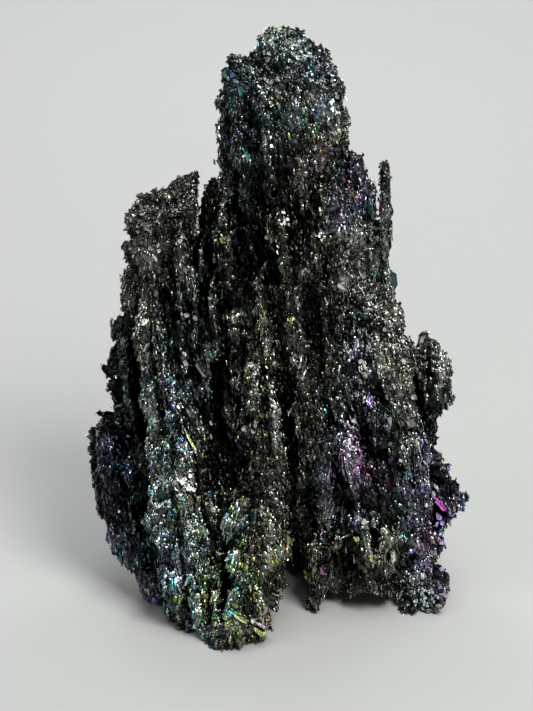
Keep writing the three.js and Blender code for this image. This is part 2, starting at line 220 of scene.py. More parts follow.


# ---------------------------------------------------------------- light and dark places, painted light and shade among them


class Depths:
    """How the solid lies round each place on the cluster, measured on a grid."""

    open_share = 0.5  # how much solid lies round a place on a flat, open face
    shut_share = 0.3  # how much more lies round a place deep in a cleft
    start_depth = 0.4  # how far inside a measurement of the room starts, in mm
    thin_slope = 0.5  # below this slope of the grid the way outward is shorter than 1
    ray_step = 0.001  # how far past a face the next ray starts, in mm

    def __init__(
        self, solid: bpy.types.Object, cell: float = 0.8 * MM, reach: int = 4, near: int = 2
    ) -> None:
        """Measures the solid.

        Args:
            solid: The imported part's object.
            cell: The grid's spacing.
            reach: How many cells round a place make it shut in or open.
            near: How many cells round a place decide which way is outward there.
        """
        low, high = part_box(NODE)
        margin = 2 * reach * cell
        self.cell = cell
        self.low = np.array(low) - margin
        self.size = np.ceil((np.array(high) + margin - self.low) / cell).astype(int)
        corners = [vertex.co for vertex in solid.data.vertices]
        self.tree = BVHTree.FromPolygons(corners, [face.vertices for face in solid.data.polygons])
        inside = self.filled()
        self.share = self.smoothed(inside, reach)
        uphill = np.stack(np.gradient(self.smoothed(inside, near)), axis=-1)
        self.downhill = -uphill * (2 * near + 1)

    def filled(self) -> np.ndarray:
        """Marks the grid's cells whose middle lies in the solid.

        Returns:
            1 for each cell inside the solid and 0 for the others.
        """
        grid = np.zeros(self.size)
        heights = self.low[2] + (np.arange(self.size[2]) + 0.5) * self.cell
        down = Vector((0, 0, -1))
        for column in np.ndindex(*self.size[:2]):
            x, y = self.low[:2] + (np.array(column) + 0.5) * self.cell
            start = Vector((x, y, heights[-1]))
            hit = self.tree.ray_cast(start, down)[0]
            while hit is not None:
                grid[column] = np.where(heights < hit.z, 1 - grid[column], grid[column])
                hit = self.tree.ray_cast(hit + down * self.ray_step * MM, down)[0]
        return grid

    @classmethod
    def smoothed(cls, grid: np.ndarray, reach: int) -> np.ndarray:
        """Averages a grid twice over the cells within reach along every axis."""
        for axis in (0, 1, 2, 0, 1, 2):
            grid = cls.averaged(grid, axis, reach)
        return grid

    @staticmethod
    def averaged(grid: np.ndarray, axis: int, reach: int) -> np.ndarray:
        """Averages a grid over the cells within reach along one axis."""
        total = np.cumsum(np.moveaxis(grid, axis, 0), axis=0)
        padded = np.concatenate([np.zeros_like(total[:1]), total])
        last = len(total)
        index = np.arange(last)
        above, below = np.minimum(index + reach + 1, last), np.maximum(index - reach, 0)
        return np.moveaxis((padded[above] - padded[below]) / (2 * reach + 1), 0, axis)

    def at(self, places: np.ndarray) -> np.ndarray:
        """How shut in each place is.

        Args:
            places: Points on the cluster, one row each.

        Returns:
            0 on an open face or an edge, up to 1 deep in a cleft.
        """
        index = ((places - self.low) / self.cell).astype(int).clip(0, self.size - 1)
        return np.clip((self.share[tuple(index.T)] - self.open_share) / self.shut_share, 0, 1)

    def outward(self, places: np.ndarray) -> np.ndarray:
        """Which way is outward at each place, the same for close neighbours.

        Args:
            places: Points on the cluster, one row each.

        Returns:
            One direction for each point, with length 1 or shorter where the cluster is thin.
        """
        spot = (places - self.low) / self.cell - 0.5
        low = np.floor(spot).astype(int).clip(0, self.size - 2)
        part = spot - low
        total = np.zeros_like(places)
        for corner in np.ndindex(2, 2, 2):
            weight = np.prod(np.where(corner, part, 1 - part), axis=1)
            total += weight[:, None] * self.downhill[tuple((low + corner).T)]
        return total / np.maximum(np.linalg.norm(total, axis=1, keepdims=True), self.thin_slope)

    def room(self, places: np.ndarray, outward: np.ndarray) -> np.ndarray:
        """How far the solid reaches inward from each place.

        Args:
            places: Points on the cluster, one row each.
            outward: The direction outward at each.

        Returns:
            One distance for each point.
        """
        inward = -unit(outward)
        starts = places + inward * self.start_depth * MM
        hits = (self.tree.ray_cast(Vector(a), Vector(b))[3] for a, b in zip(starts, inward))
        return np.array([0 if distance is None else distance for distance in hits])


@dataclass(frozen=True)
class Spot:
    """A part of the cluster, seen from the front, by its middle and half sizes in mm."""

    name: str
    x: float
    z: float
    half_width: float
    half_height: float

    def weight(self, places: np.ndarray) -> np.ndarray:
        """How much each point belongs to the spot, from 0 to 1."""
        across = (places[:, 0] / MM - self.x) / self.half_width
        up = (places[:, 2] / MM - self.z) / self.half_height
        return np.exp(-(across**2) - up**2)


@dataclass(frozen=True)
class Patch(Spot):
    """A spot that differs from the rest, by a factor or, where it swells or sinks, by mm."""

    gain: float


# Painted light and shade: lit faces, knots and glints made brighter, shaded faces, clefts and hollows made
# darker. Where each patch's middle is and its half sizes, in mm, and how much brighter it is.
PAINTED_LIGHT_PATCHES = (
    Patch("tower front", 5, 83, 4, 5, 0.52),
    Patch("dome top", 1.5, 90, 5, 3, 0.8),
    Patch("tower front knot", 7.4, 79.8, 1.5, 2, 1.4),
    Patch("tower front cleft", 5.4, 75.5, 2.4, 3, 0.5),
    Patch("tower front foot", 2.9, 72.6, 2, 3, 0.65),
    Patch("tower left face", -5.8, 80.5, 3, 11, 0.34),
    Patch("tower front hollow", 1.0, 80, 1.8, 3.5, 0.7),
    Patch("tower left edge", -7.6, 86, 2.2, 4, 0.5),
    Patch("slanting cleft", -0.5, 68, 2.2, 5, 0.32),
    Patch("tower foot", 3.7, 64.8, 1.8, 4.2, 3.6),
    Patch("slanting cleft foot", -1.2, 64.5, 1.4, 2.5, 0.5),
    Patch("cleft below the tower", 5.8, 59.5, 1.6, 3.5, 0.65),
    Patch("right step", 11, 68, 4, 5, 0.62),
    Patch("right slope", 12, 57, 4.5, 9, 2.7),
    Patch("right spire", 16.8, 61, 2, 9, 0.65),
    Patch("right shoulder", 12.6, 40, 3.5, 6, 3.6),
    Patch("right shoulder knot", 12.2, 39.0, 1.3, 3.2, 2.1),
    Patch("right shoulder glint", 13.2, 42.5, 1.2, 1.6, 1.8),
    Patch("right flank", 17.5, 43, 3.5, 3.2, 0.5),
    Patch("right shoulder edge", 23.2, 34.5, 3, 5, 1.8),
    Patch("right shoulder cleft", 22.7, 32.5, 0.9, 3.5, 0.35),
    Patch("cleft left of the shoulder", 14.5, 31.5, 1.0, 3, 0.45),
    Patch("slope foot", 9.8, 46.6, 1.8, 3, 1.5),
    Patch("dark slope foot", 6.2, 47, 2.3, 9, 0.5),
    Patch("left shoulder corner", -19, 64, 4.5, 6, 0.45),
    Patch("left edge", -21.8, 48.5, 2, 6, 0.65),
    Patch("left shoulder front", -14.5, 64, 3.5, 6, 0.62),
    Patch("left shoulder streak", -18.0, 57, 1.4, 3, 1.8),
    Patch("left shoulder knot", -14.4, 57.6, 1.5, 2.5, 1.9),
    Patch("left pillar top", -15, 44.5, 3, 4, 1.6),
    Patch("ledge left of the cleft", -9.6, 55.3, 1.8, 3, 2.3),
    Patch("upper cleft", -7.9, 60.5, 1.6, 4, 0.6),
    Patch("cleft beside the pillar", -8.2, 45, 2.2, 9, 0.32),
    Patch("cleft below the pillar", -9.7, 30.5, 2.5, 5.5, 0.28),
    Patch("left pillar", -13.3, 40.5, 3.0, 7, 3.7),
    Patch("left pillar knot", -13.7, 24.6, 1.3, 1.5, 3.0),
    Patch("left lobe edge", -21.9, 31, 2.5, 5, 2.3),
    Patch("left lobe front", -14.5, 23, 3.5, 6, 1.7),
    Patch("left lobe side", -25, 24, 4, 14, 0.19),
    Patch("left foot", -13.3, 9.5, 3, 4, 3.4),
    Patch("left foot knot", -14.4, 10.7, 1.3, 1.5, 1.8),
    Patch("left foot corner", -11.6, 5.5, 2, 2.5, 0.7),
    Patch("left foot side", -18, 8, 3, 6, 0.5),
    Patch("left foot edge", -21.2, 11, 2, 3, 1.4),
    Patch("front ridge", 0, 40, 2, 9, 2.4),
    Patch("front ridge right", 1.2, 36.5, 1.2, 4.5, 1.5),
    Patch("front ridge knot", -4.2, 32.0, 1.3, 1.5, 2.8),
    Patch("front ridge top", -4.9, 45.2, 1.6, 2.2, 1.6),
    Patch("cleft right of the ridge", 4.4, 40.5, 1.7, 8, 0.45),
    Patch("front foot", -3.5, 11, 5, 6, 2.4),
    Patch("front foot top", -8.7, 14.6, 2.5, 5, 2.7),
    Patch("front foot tip", -5.9, 6.0, 2.5, 2, 1.6),
    Patch("front foot right", -0.3, 9, 1.6, 3, 0.65),
    Patch("middle seam", 5.2, 26.5, 1.7, 9, 0.3),
    Patch("right middle", 10.4, 20.5, 2.7, 8, 4.0),
    Patch("right middle knot", 9.9, 18.7, 2, 2.5, 1.5),
    Patch("dark hollow", 15.0, 20.3, 1.7, 3, 0.42),
    Patch("right foot", 14.2, 13.5, 5, 4.5, 3.4),
    Patch("right foot knot", 14.7, 12.8, 1.5, 1.5, 1.6),
    Patch("right foot heel", 11.2, 8.5, 2.5, 3, 2.1),
    Patch("right foot tip", 18.7, 7.5, 4, 4, 1.6),
    Patch("right lobe", 24, 20, 4, 5, 1.35),
)


def tone_with_painted_light(places: np.ndarray, depths: Depths) -> np.ndarray:
    """How much brighter or darker than usual the crystals are: random lighter and darker places of their
    own, times painted light and shade from the patches and painted shade in the clefts.

    Args:
        places: Points on the cluster, one row each.
        depths: How shut in the cluster's places are.

    Returns:
        One gain for each point.
    """
    coarse, fine = (clouds(places, size, Pattern.LIGHT + i) for i, size in enumerate(CLOUD_SIZES))
    gain = np.exp(CLOUD_CONTRAST * coarse + CLOUD_CONTRAST * fine)
    # painted light and shade: each patch makes its lit places brighter and its shaded places darker
    for patch in PAINTED_LIGHT_PATCHES:
        gain *= patch.gain ** patch.weight(places)
    # painted shade: the deeper a place lies in a cleft, the darker its colour
    return gain * np.exp(-SHUT_IN_SHADE * depths.at(places))


# ---------------------------------------------------------------- colours of the tarnish


class Tint(Enum):
    """The colours that thin tarnish gives the crystals, as linear red, green and blue."""

    GOLD = (1.0, 0.70, 0.20)
    LIME = (0.80, 1.0, 0.18)
    GREEN = (0.38, 1.0, 0.36)
    TEAL = (0.08, 0.80, 0.95)
    BLUE = (0.12, 0.42, 1.0)
    VIOLET = (0.46, 0.22, 1.0)
    MAGENTA = (0.90, 0.18, 0.945)
    ROSE = (1.0, 0.36, 0.70)
    SILVER = (1.0, 1.0, 1.0)


@dataclass(frozen=True)
class Zone(Spot):
    """A spot with its own tint and more or less tarnish."""

    tint: Tint
    richness: float

    def pull(self, places: np.ndarray) -> np.ndarray:
        """How strongly each point leans to the zone's tint, from 0 to 1."""
        return np.clip(MIDDLE_PULL - places[:, 1] / BACK_FADE, LEAST_PULL, 1) * self.weight(places)


# Where each zone's middle is and its half sizes, in mm, then its tint and how much it adds.
ZONES = (
    Zone("tower left", -5, 80, 5, 12, Tint.TEAL, 0.5),
    Zone("tower right", 6, 83, 5, 8, Tint.TEAL, -0.2),
    Zone("tower foot", 4, 71, 4, 5, Tint.GOLD, -0.1),
    Zone("right step", 10.5, 66, 3, 4, Tint.ROSE, 0.7),
    Zone("right slope", 12, 54, 6, 10, Tint.LIME, -0.8),
    Zone("right shoulder", 18, 38, 6, 8, Tint.LIME, -0.7),
    Zone("right shoulder seam", 12, 37, 2, 8, Tint.ROSE, 0.3),
    Zone("left shoulder", -17, 60, 7, 10, Tint.LIME, -1.1),
    Zone("middle", 0, 42, 7, 14, Tint.LIME, -0.1),
    Zone("left pillar", -14, 40, 4, 8, Tint.TEAL, 0.4),
    Zone("left lobe", -22, 26, 6, 12, Tint.TEAL, 1.0),
    Zone("left lobe side", -27, 22, 4, 9, Tint.VIOLET, 1.3),
    Zone("left foot", -16, 7, 5, 8, Tint.TEAL, 1.3),
    Zone("left foot side", -20.5, 9, 4, 8, Tint.VIOLET, 1.6),
    Zone("front foot", -3, 9, 6, 9, Tint.LIME, 2.8),
    Zone("front foot left", -9, 11, 3, 6, Tint.TEAL, 1.2),
    Zone("right middle", 11, 25, 4, 8, Tint.ROSE, 0.8),
    Zone("right foot", 12, 9, 5, 7, Tint.GOLD, 0.9),
    Zone("right lobe", 25, 17, 4.5, 11, Tint.MAGENTA, 1.3),
    Zone("right lobe edge", 26.6, 18, 2.6, 9, Tint.VIOLET, 1.6),
)


@dataclass(frozen=True)
class Tarnish:
    """How the tarnish's colour and strength change over the cluster."""

    patch: float = 5 * MM
    detail: float = 0.6
    rest: float = 1.3
    rest_weight: float = 0.12
    drift: float = 1.3
    own_drift: float = 0.8
    crispness: float = 2.5
    richness: float = 0.6
    least_richness: float = 0.1
    most_richness: float = 3
    share: float = 0.42
    gathering: float = 0.6
    strength: float = 0.98
    strength_spread: tuple[float, float] = (1.1, 1.9)
    undertone: float = 0.16
    rich_share: float = 0.09
    rich_strength: tuple[float, float] = (0.60, 0.97)
    seed: int = 40

    def colours(self, places: np.ndarray, rng: np.random.Generator) -> np.ndarray:
        """The tarnish colour at each point.

        Args:
            places: Points on the cluster, one row each.
            rng: The source of single crystals' differences.

        Returns:
            One linear colour for each point, with its brightest channel near 1.
        """
        count = len(places)
        ring = [tint for tint in Tint if tint is not Tint.SILVER]
        table = np.array([tint.value for tint in ring])
        wander = clouds(places, self.patch, self.seed)
        wander = wander + self.detail * clouds(places, self.patch / 3, self.seed + 1)
        leaning, richness = self.leanings(places, ring)
        spot = (leaning + self.drift * wander + rng.normal(0, self.own_drift, count)) % len(ring)
        low = np.floor(spot).astype(int) % len(ring)
        part = np.clip((spot - np.floor(spot) - 0.5) * self.crispness + 0.5, 0, 1)[:, None]
        tint = table[low] * (1 - part) + table[(low + 1) % len(ring)] * part
        film = rng.random(count) < self.share * richness * (1 + self.gathering * wander)
        faint = self.strength * rng.beta(*self.strength_spread, count)
        depth = np.where(film, faint, self.undertone)
        rich = rng.random(count) < self.rich_share * richness
        depth = np.where(rich, rng.uniform(*self.rich_strength, count), depth)
        return 1 - depth[:, None] * (1 - tint)

    def leanings(self, places: np.ndarray, ring: list[Tint]) -> tuple[np.ndarray, np.ndarray]:
        """Where on the ring of tints each part of the cluster is centred, and how rich it is.

        Args:
            places: Points on the cluster, one row each.
            ring: The tints in order.

        Returns:
            One position on the ring and one richness for each point.
        """
        weight = np.full(len(places), self.rest_weight)
        total = weight * self.rest
        richness = np.full(len(places), self.richness)
        for zone in ZONES:
            pull = zone.pull(places)
            total += pull * ring.index(zone.tint)
            weight += pull
            richness += pull * zone.richness
        return total / weight, np.clip(richness, self.least_richness, self.most_richness)


# ---------------------------------------------------------------- finishes


class FilmGroup:
    """The shader group that clouds a colour and a polish over the surface, built once."""

    name = "crystal film"
    cloud_detail = 3
    line_detail = 2
    middle = (0.3, 0.7)  # the part of the noise that the clouds span
    stretch = (1, 1, 0.18)  # draws the noise out into upright lines

    @classmethod
    def tree(cls) -> bpy.types.NodeTree:
        """The group, made at its first use."""
        return bpy.data.node_groups.get(cls.name) or cls._build()

    @classmethod
    def _build(cls) -> bpy.types.NodeTree:
        """Makes the group's sockets and nodes.

        Returns:
            The finished node tree.
        """
        tree = bpy.data.node_groups.new(cls.name, "ShaderNodeTree")
        face = tree.interface
        face.new_socket("Colour", in_out="INPUT", socket_type="NodeSocketColor")
        for name in ("Cloud size", "Cloud depth", "Polish low", "Polish high", "Striation"):
            face.new_socket(name, in_out="INPUT", socket_type="NodeSocketFloat")
        face.new_socket("Colour", in_out="OUTPUT", socket_type="NodeSocketColor")
        for name in ("Roughness", "Height"):
            face.new_socket(name, in_out="OUTPUT", socket_type="NodeSocketFloat")
        nodes, links = tree.nodes, tree.links
        inside = nodes.new("NodeGroupInput")
        outside = nodes.new("NodeGroupOutput")
        place = nodes.new("ShaderNodeTexCoord")

        cloud = nodes.new("ShaderNodeTexNoise")
        cloud.inputs["Detail"].default_value = cls.cloud_detail
        links.new(place.outputs["Object"], cloud.inputs["Vector"])
        links.new(inside.outputs["Cloud size"], cloud.inputs["Scale"])

        shade, polish = nodes.new("ShaderNodeMapRange"), nodes.new("ShaderNodeMapRange")
        for spread in (shade, polish):
            links.new(cloud.outputs["Fac"], spread.inputs["Value"])
            spread.inputs["From Min"].default_value = cls.middle[0]
            spread.inputs["From Max"].default_value = cls.middle[1]
        links.new(inside.outputs["Cloud depth"], shade.inputs["To Min"])
        shade.inputs["To Max"].default_value = 1.0

        darken = nodes.new("ShaderNodeVectorMath")
        darken.operation = "SCALE"
        links.new(inside.outputs["Colour"], darken.inputs[0])
        links.new(shade.outputs["Result"], darken.inputs["Scale"])
        links.new(darken.outputs["Vector"], outside.inputs["Colour"])

        links.new(inside.outputs["Polish low"], polish.inputs["To Min"])
        links.new(inside.outputs["Polish high"], polish.inputs["To Max"])
        links.new(polish.outputs["Result"], outside.inputs["Roughness"])

        stretch = nodes.new("ShaderNodeMapping")
        stretch.inputs["Scale"].default_value = cls.stretch
        links.new(place.outputs["Object"], stretch.inputs["Vector"])
        lines = nodes.new("ShaderNodeTexNoise")
        lines.inputs["Detail"].default_value = cls.line_detail
        links.new(stretch.outputs["Vector"], lines.inputs["Vector"])
        links.new(inside.outputs["Striation"], lines.inputs["Scale"])
        links.new(lines.outputs["Fac"], outside.inputs["Height"])
        return tree


@dataclass(frozen=True)
class CrystalFinish:
    """Glossy, near-metallic black crystal with a thin film of tarnish on it."""

    name: str
    polish: tuple[float, float] = (0.14, 0.30)
    clouding: float = 0.55
    striation: float = 0.8
    striation_depth: float = 0.14 * MM
    clouds_per_metre: float = 900
    lines_per_metre: float = 4000

    def material(self) -> bpy.types.Material:
        """Makes the finish's material.

        Returns:
            A material that reads each crystal's colour, painted light and shade included, from the mesh
            attribute "tarnish".
        """
        made = bpy.data.materials.new(self.name)
        made.use_nodes = True
        nodes, links = made.node_tree.nodes, made.node_tree.links
        shader = nodes["Principled BSDF"]
        shader.inputs["Metallic"].default_value = 1.0

        tarnish = nodes.new("ShaderNodeAttribute")
        tarnish.attribute_name = "tarnish"
        film = nodes.new("ShaderNodeGroup")
        film.node_tree = FilmGroup.tree()
        film.inputs["Cloud size"].default_value = self.clouds_per_metre
        film.inputs["Cloud depth"].default_value = self.clouding
        film.inputs["Polish low"].default_value = self.polish[0]
        film.inputs["Polish high"].default_value = self.polish[1]
        film.inputs["Striation"].default_value = self.lines_per_metre
        links.new(tarnish.outputs["Color"], film.inputs["Colour"])
        links.new(film.outputs["Colour"], shader.inputs["Base Color"])
        links.new(film.outputs["Roughness"], shader.inputs["Roughness"])

        bump = nodes.new("ShaderNodeBump")
        bump.inputs["Strength"].default_value = self.striation
        bump.inputs["Distance"].default_value = self.striation_depth
        links.new(film.outputs["Height"], bump.inputs["Height"])
        links.new(bump.outputs["Normal"], shader.inputs["Normal"])
        return made


@dataclass(frozen=True)
class PlainFinish:
    """A matt, even finish for the floor."""

    name: str
    colour: tuple[float, float, float]
    roughness: float

    def material(self) -> bpy.types.Material:
        """Makes the finish's material."""
        made = bpy.data.materials.new(self.name)
        made.use_nodes = True
        shader = made.node_tree.nodes["Principled BSDF"]
        shader.inputs["Base Color"].default_value = (*self.colour, 1)
        shader.inputs["Roughness"].default_value = self.roughness
        return made


# ---------------------------------------------------------------- meshes


def quad_mesh(name: str, corners: np.ndarray, quads: np.ndarray) -> bpy.types.Mesh:
    """Makes a mesh of four-sided faces.

    Args:
        name: The mesh's name.
        corners: Points, one row each.
        quads: Four corner numbers for each face.

    Returns:
        The mesh.
    """
    mesh = bpy.data.meshes.new(name)
    mesh.vertices.add(len(corners))
    mesh.vertices.foreach_set("co", corners.astype(np.float32).ravel())
    mesh.loops.add(quads.size)
    mesh.loops.foreach_set("vertex_index", quads.astype(np.int32).ravel())
    mesh.polygons.add(len(quads))
    mesh.polygons.foreach_set("loop_start", np.arange(0, quads.size, 4, dtype=np.int32))
    mesh.update(calc_edges=True)
    return mesh


def points_of(mesh: bpy.types.Mesh, what: str) -> np.ndarray:
    """Reads one vector of each of a mesh's vertices.

    Args:
        mesh: The mesh.
        what: The vector's name, such as "co".

    Returns:
        One row for each vertex.
    """
    found = np.empty(len(mesh.vertices) * 3, np.float32)
    mesh.vertices.foreach_get(what, found)
    return found.reshape(-1, 3).astype(float)


def paint(mesh: bpy.types.Mesh, colours: np.ndarray, domain: str) -> None:
    """Keeps a colour for each face or corner point under the name that the finishes read: the tarnish tint
    times the tone, with painted light and shade in it.

    Args:
        mesh: The mesh to paint.
        colours: Linear red, green and blue, one row for each face or point.
        domain: "FACE" or "POINT".
    """
    layer = mesh.attributes.new("tarnish", "FLOAT_COLOR", domain)
    solid = np.concatenate([colours, np.ones((len(colours), 1))], axis=1)
    layer.data.foreach_set("color", solid.astype(np.float32).ravel())


def lay_out(mesh: bpy.types.Mesh, cell_of_face: np.ndarray) -> None:
    """Gives each cell's faces one small square of their own on a flat map.

    Args:
        mesh: A mesh of four-sided faces.
        cell_of_face: The number of the cell that each face belongs to.
    """
    side = math.ceil(math.sqrt(cell_of_face.max() + 1))
    column, row = cell_of_face % side, cell_of_face // side
    near, far = CELL_MARGIN, 1 - CELL_MARGIN
    inner = np.array([(near, near), (far, near), (far, far), (near, far)])
    low = np.stack([column, row], axis=1)[:, None, :]
    layer = mesh.uv_layers.new(name="OFBake")
    layer.uv.foreach_set("vector", ((low + inner) / side).astype(np.float32).ravel())


def place_piece(name: str, mesh: bpy.types.Mesh, finish: CrystalFinish) -> bpy.types.Object:
    """Puts a mesh in the scene as a piece of the specimen.

    Args:
        name: The piece's name.
        mesh: Its mesh.
        finish: Its finish.

    Returns:
        The piece, which rides on the specimen's body.
    """
    piece = bpy.data.objects.new(name, mesh)
    bpy.context.scene.collection.objects.link(piece)
    mesh.materials.append(finish.material())
    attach(piece, BODY)
    log.info("%s: %d faces", name, len(mesh.polygons))
    return piece


# ---------------------------------------------------------------- the skin


@dataclass
class Skin:
    """The cluster's own surface, fluted, splintered and pitted, in place of the plain solid."""

    voxel: float = 0.30 * MM
    squash: float = 0.55
    columns: Fibres = Fibres(4.2 * MM, 15 * MM, 1.7 * MM, 2.6 * MM, 0.32, 11)
    splinters: Fibres = Fibres(1.8 * MM, 6 * MM, 1.0 * MM, 1.0 * MM, 0.30, 23)
    needles: Fibres = Fibres(0.8 * MM, 3.2 * MM, 0.45 * MM, 0.35 * MM, 0.25, 37)
    swell: float = 0.38 * MM
    lumps: float = 0.45 * MM
    lump_size: float = 1.6 * MM
    knobs: float = 0.60 * MM
    knob_size: float = 4.0 * MM
    tower_foot: float = 64 * MM
    tower_rise: float = 8 * MM
    tower_calm: float = 0.6
    calm: tuple[Patch, ...] = (
        Patch("left shoulder", -17, 63, 6, 8, 0.35),
        Patch("dome", 0, 86, 9, 7, 0.5),
    )
    bulges: tuple[Patch, ...] = (
        Patch("left shoulder corner", -20.5, 64.5, 3.5, 6, 3.0),
        Patch("left shoulder top", -15.3, 68, 2, 2.5, 2.1),
        Patch("left shoulder spike", -12.3, 70, 1.6, 2.5, -2.1),
        Patch("tower left foot", -8.9, 70, 2, 4, -0.4),
        Patch("right flank", 17.5, 46.5, 3, 5, 2.8),
        Patch("right shoulder corner", 25, 38.5, 2.5, 4, 1.6),
        Patch("right shoulder spike", 22.1, 44.5, 1.6, 2.2, -1.0),
        Patch("left lobe edge", -27, 27, 2.5, 3, 1.1),
        Patch("left lobe side", -27.5, 19, 2.5, 3.5, 0.7),
        Patch("right lobe edge", 27, 16.5, 2.5, 4, 1.0),
        Patch("right foot edge", 25.5, 4, 2, 4, -0.7),
        Patch("left edge", -24.4, 42.4, 2, 5, -0.6),
        Patch("dome left", -4.0, 89, 3, 3, 1.7),
        Patch("dome right", 6.4, 88.5, 2.6, 3, -1.3),
        Patch("dome knob", 1.6, 91, 1.6, 2.5, 0.6),
        Patch("tower right edge", 10.5, 78, 2.5, 7, -0.9),
        Patch("tower left edge", -9.2, 75, 2, 5, -0.5),
    )
    crumple: float = 0.09 * MM
    deepest_cut: float = 0.35
    tone: float = 0.165
    tone_spread: float = 0.75
    tone_range: tuple[float, float] = (0.002, 0.8)
    # painted shade in the grooves: how fast faces darken with their depth, up to the deepest mm that
    # counts
    groove_shade: float = 0.95
    deepest_shaded: float = 4
    finish: CrystalFinish = CrystalFinish("black crystal skin", polish=(0.16, 0.32))
    tarnish: Tarnish = Tarnish()
    pieces: list[bpy.types.Object] = field(default_factory=list)
    places: np.ndarray | None = None
    normals: np.ndarray | None = None
    shade: np.ndarray | None = None
    room: np.ndarray | None = None

    def build(self, depths: Depths) -> None:
        """Remeshes the solid, raises its columns, splinters and lumps and splits it by side.

        Args:
            depths: How shut in the cluster's places are.
        """
        rng = np.random.default_rng(Pattern.SKIN)
        even = self.remeshed(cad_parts[NODE])
        places, self.normals = points_of(even, "co"), points_of(even, "normal")
        outward = depths.outward(places)
        self.room = depths.room(places, outward)
        rise = self.rise_at(places)
        places += outward * rise[:, None]
        places += self.crumple * rng.normal(0, 1, places.shape)
        places[:, 2] = np.maximum(places[:, 2], 0)
        self.places = places
        # painted shade: faces sunk into the grooves get darker colours
        sunk = (self.swell - rise) / MM
        self.shade = np.exp(-self.groove_shade * np.clip(sunk, 0, self.deepest_shaded))
        quads = np.empty(len(even.polygons) * 4, np.int32)
        even.polygons.foreach_get("vertices", quads)
        quads = quads.reshape(-1, 4)
        centres = places[quads].mean(1)
        colours = self.colours(centres, self.shade[quads].mean(1), depths, rng)
        for name, chosen in by_side(centres):
            self.pieces.append(self.side(f"skin_{name}", quads[chosen], colours[chosen]))
        bpy.data.meshes.remove(even)

    def rise_at(self, places: np.ndarray) -> np.ndarray:
        """How far the skin stands out from the plain solid.

        Args:
            places: Points on the solid's surface, one row each.

        Returns:
            One distance for each point, below 0 where the skin is cut in.
        """
        tower = np.clip((places[:, 2] - self.tower_foot) / self.tower_rise, 0, 1)
        strength = 1 - self.tower_calm * tower
        for patch in self.calm:
            strength *= patch.gain ** patch.weight(places)
        rise = self.columns.relief_at(places) + self.splinters.relief_at(places)
        rise = strength * rise + self.needles.relief_at(places)
        rise = np.maximum(rise, -self.deepest_cut * self.room)
        lumpy = (1 + self.tower_calm * tower) * self.lumps
        rise += lumpy * clouds(places, self.lump_size, Pattern.LUMPS)
        rise += self.swell + self.knobs * clouds(places, self.knob_size, Pattern.KNOBS)
        for bulge in self.bulges:
            rise += bulge.gain * MM * bulge.weight(places)
        return rise

    def remeshed(self, solid: bpy.types.Object) -> bpy.types.Mesh:
        """A copy of the solid's surface in even faces, which lean and stand upright as the fibres do.

        Args:
            solid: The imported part's object, which is left as it is.

        Returns:
            The new mesh.
        """
        leaning = Matrix(((1, 0, -LEAN, 0), (0, 1, 0, 0), (0, 0, self.squash, 0), (0, 0, 0, 1)))
        copy = bpy.data.objects.new("skin stock", solid.data.copy())
        copy.data.transform(leaning)
        bpy.context.scene.collection.objects.link(copy)
        remesh = copy.modifiers.new("even faces", "REMESH")
        remesh.mode = "VOXEL"
        remesh.voxel_size = self.voxel
        depsgraph = bpy.context.evaluated_depsgraph_get()
        even = bpy.data.meshes.new_from_object(copy.evaluated_get(depsgraph))
        even.transform(leaning.inverted())
        bpy.data.objects.remove(copy)
        even.name = "skin"
        even.materials.clear()
        return even

    def colours(
        self, centres: np.ndarray, shade: np.ndarray, depths: Depths, rng: np.random.Generator
    ) -> np.ndarray:
        """Each small face's colour, with painted light and shade in it.

        Args:
            centres: The faces' middles.
            shade: How much of its tone each face keeps under the painted shade of its groove.
            depths: How shut in the cluster's places are.
            rng: The source of chance.

        Returns:
            One linear colour for each face.
        """
        tone = self.tone * np.exp(self.tone_spread * rng.normal(0, 1, len(centres)))
        # painted shade of the grooves, and painted light and shade of the patches and clefts
        tone *= shade * tone_with_painted_light(centres, depths)
        return self.tarnish.colours(centres, rng) * np.clip(tone, *self.tone_range)[:, None]

    def side(self, name: str, quads: np.ndarray, colours: np.ndarray) -> bpy.types.Object:
        """Makes one side of the skin, painted face by face.

        Args:
            name: The piece's name.
            quads: The faces' corner numbers in the whole skin.
            colours: One colour for each face.

        Returns:
            The piece.
        """
        used, local = np.unique(quads, return_inverse=True)
        mesh = quad_mesh(name, self.places[used], local.reshape(-1, 4))
        paint(mesh, colours, "FACE")
        lay_out(mesh, np.arange(len(quads)))
        piece = place_piece(name, mesh, self.finish)
        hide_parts(NODE)
        return piece


# ---------------------------------------------------------------- the crust


@dataclass(frozen=True)
class Habit:
    """One form of small crystal: its share of the crust, sizes and taper."""

    share: float
    length: float
    width: float
    thickness: float
    taper: float
    slant: float


class Habits(Enum):
    """The forms that the small crystals take."""

    PLATE = Habit(0.35, 0.80 * MM, 0.48 * MM, 0.24 * MM, 0.75, 0.35)
    SPLINTER = Habit(0.40, 0.98 * MM, 0.30 * MM, 0.24 * MM, 0.65, 0.45)
    GRAIN = Habit(0.25, 0.50 * MM, 0.42 * MM, 0.38 * MM, 0.75, 0.25)


# The eight corners of a crystal, as -1 or 1 across, through and along it, and its six faces.
CORNERS = np.array([(x, y, z) for z in (-1, 1) for y in (-1, 1) for x in (-1, 1)], float)
FACES = np.array(
    [(0, 2, 3, 1), (4, 5, 7, 6), (0, 1, 5, 4), (1, 3, 7, 5), (3, 2, 6, 7), (2, 0, 4, 6)]
)


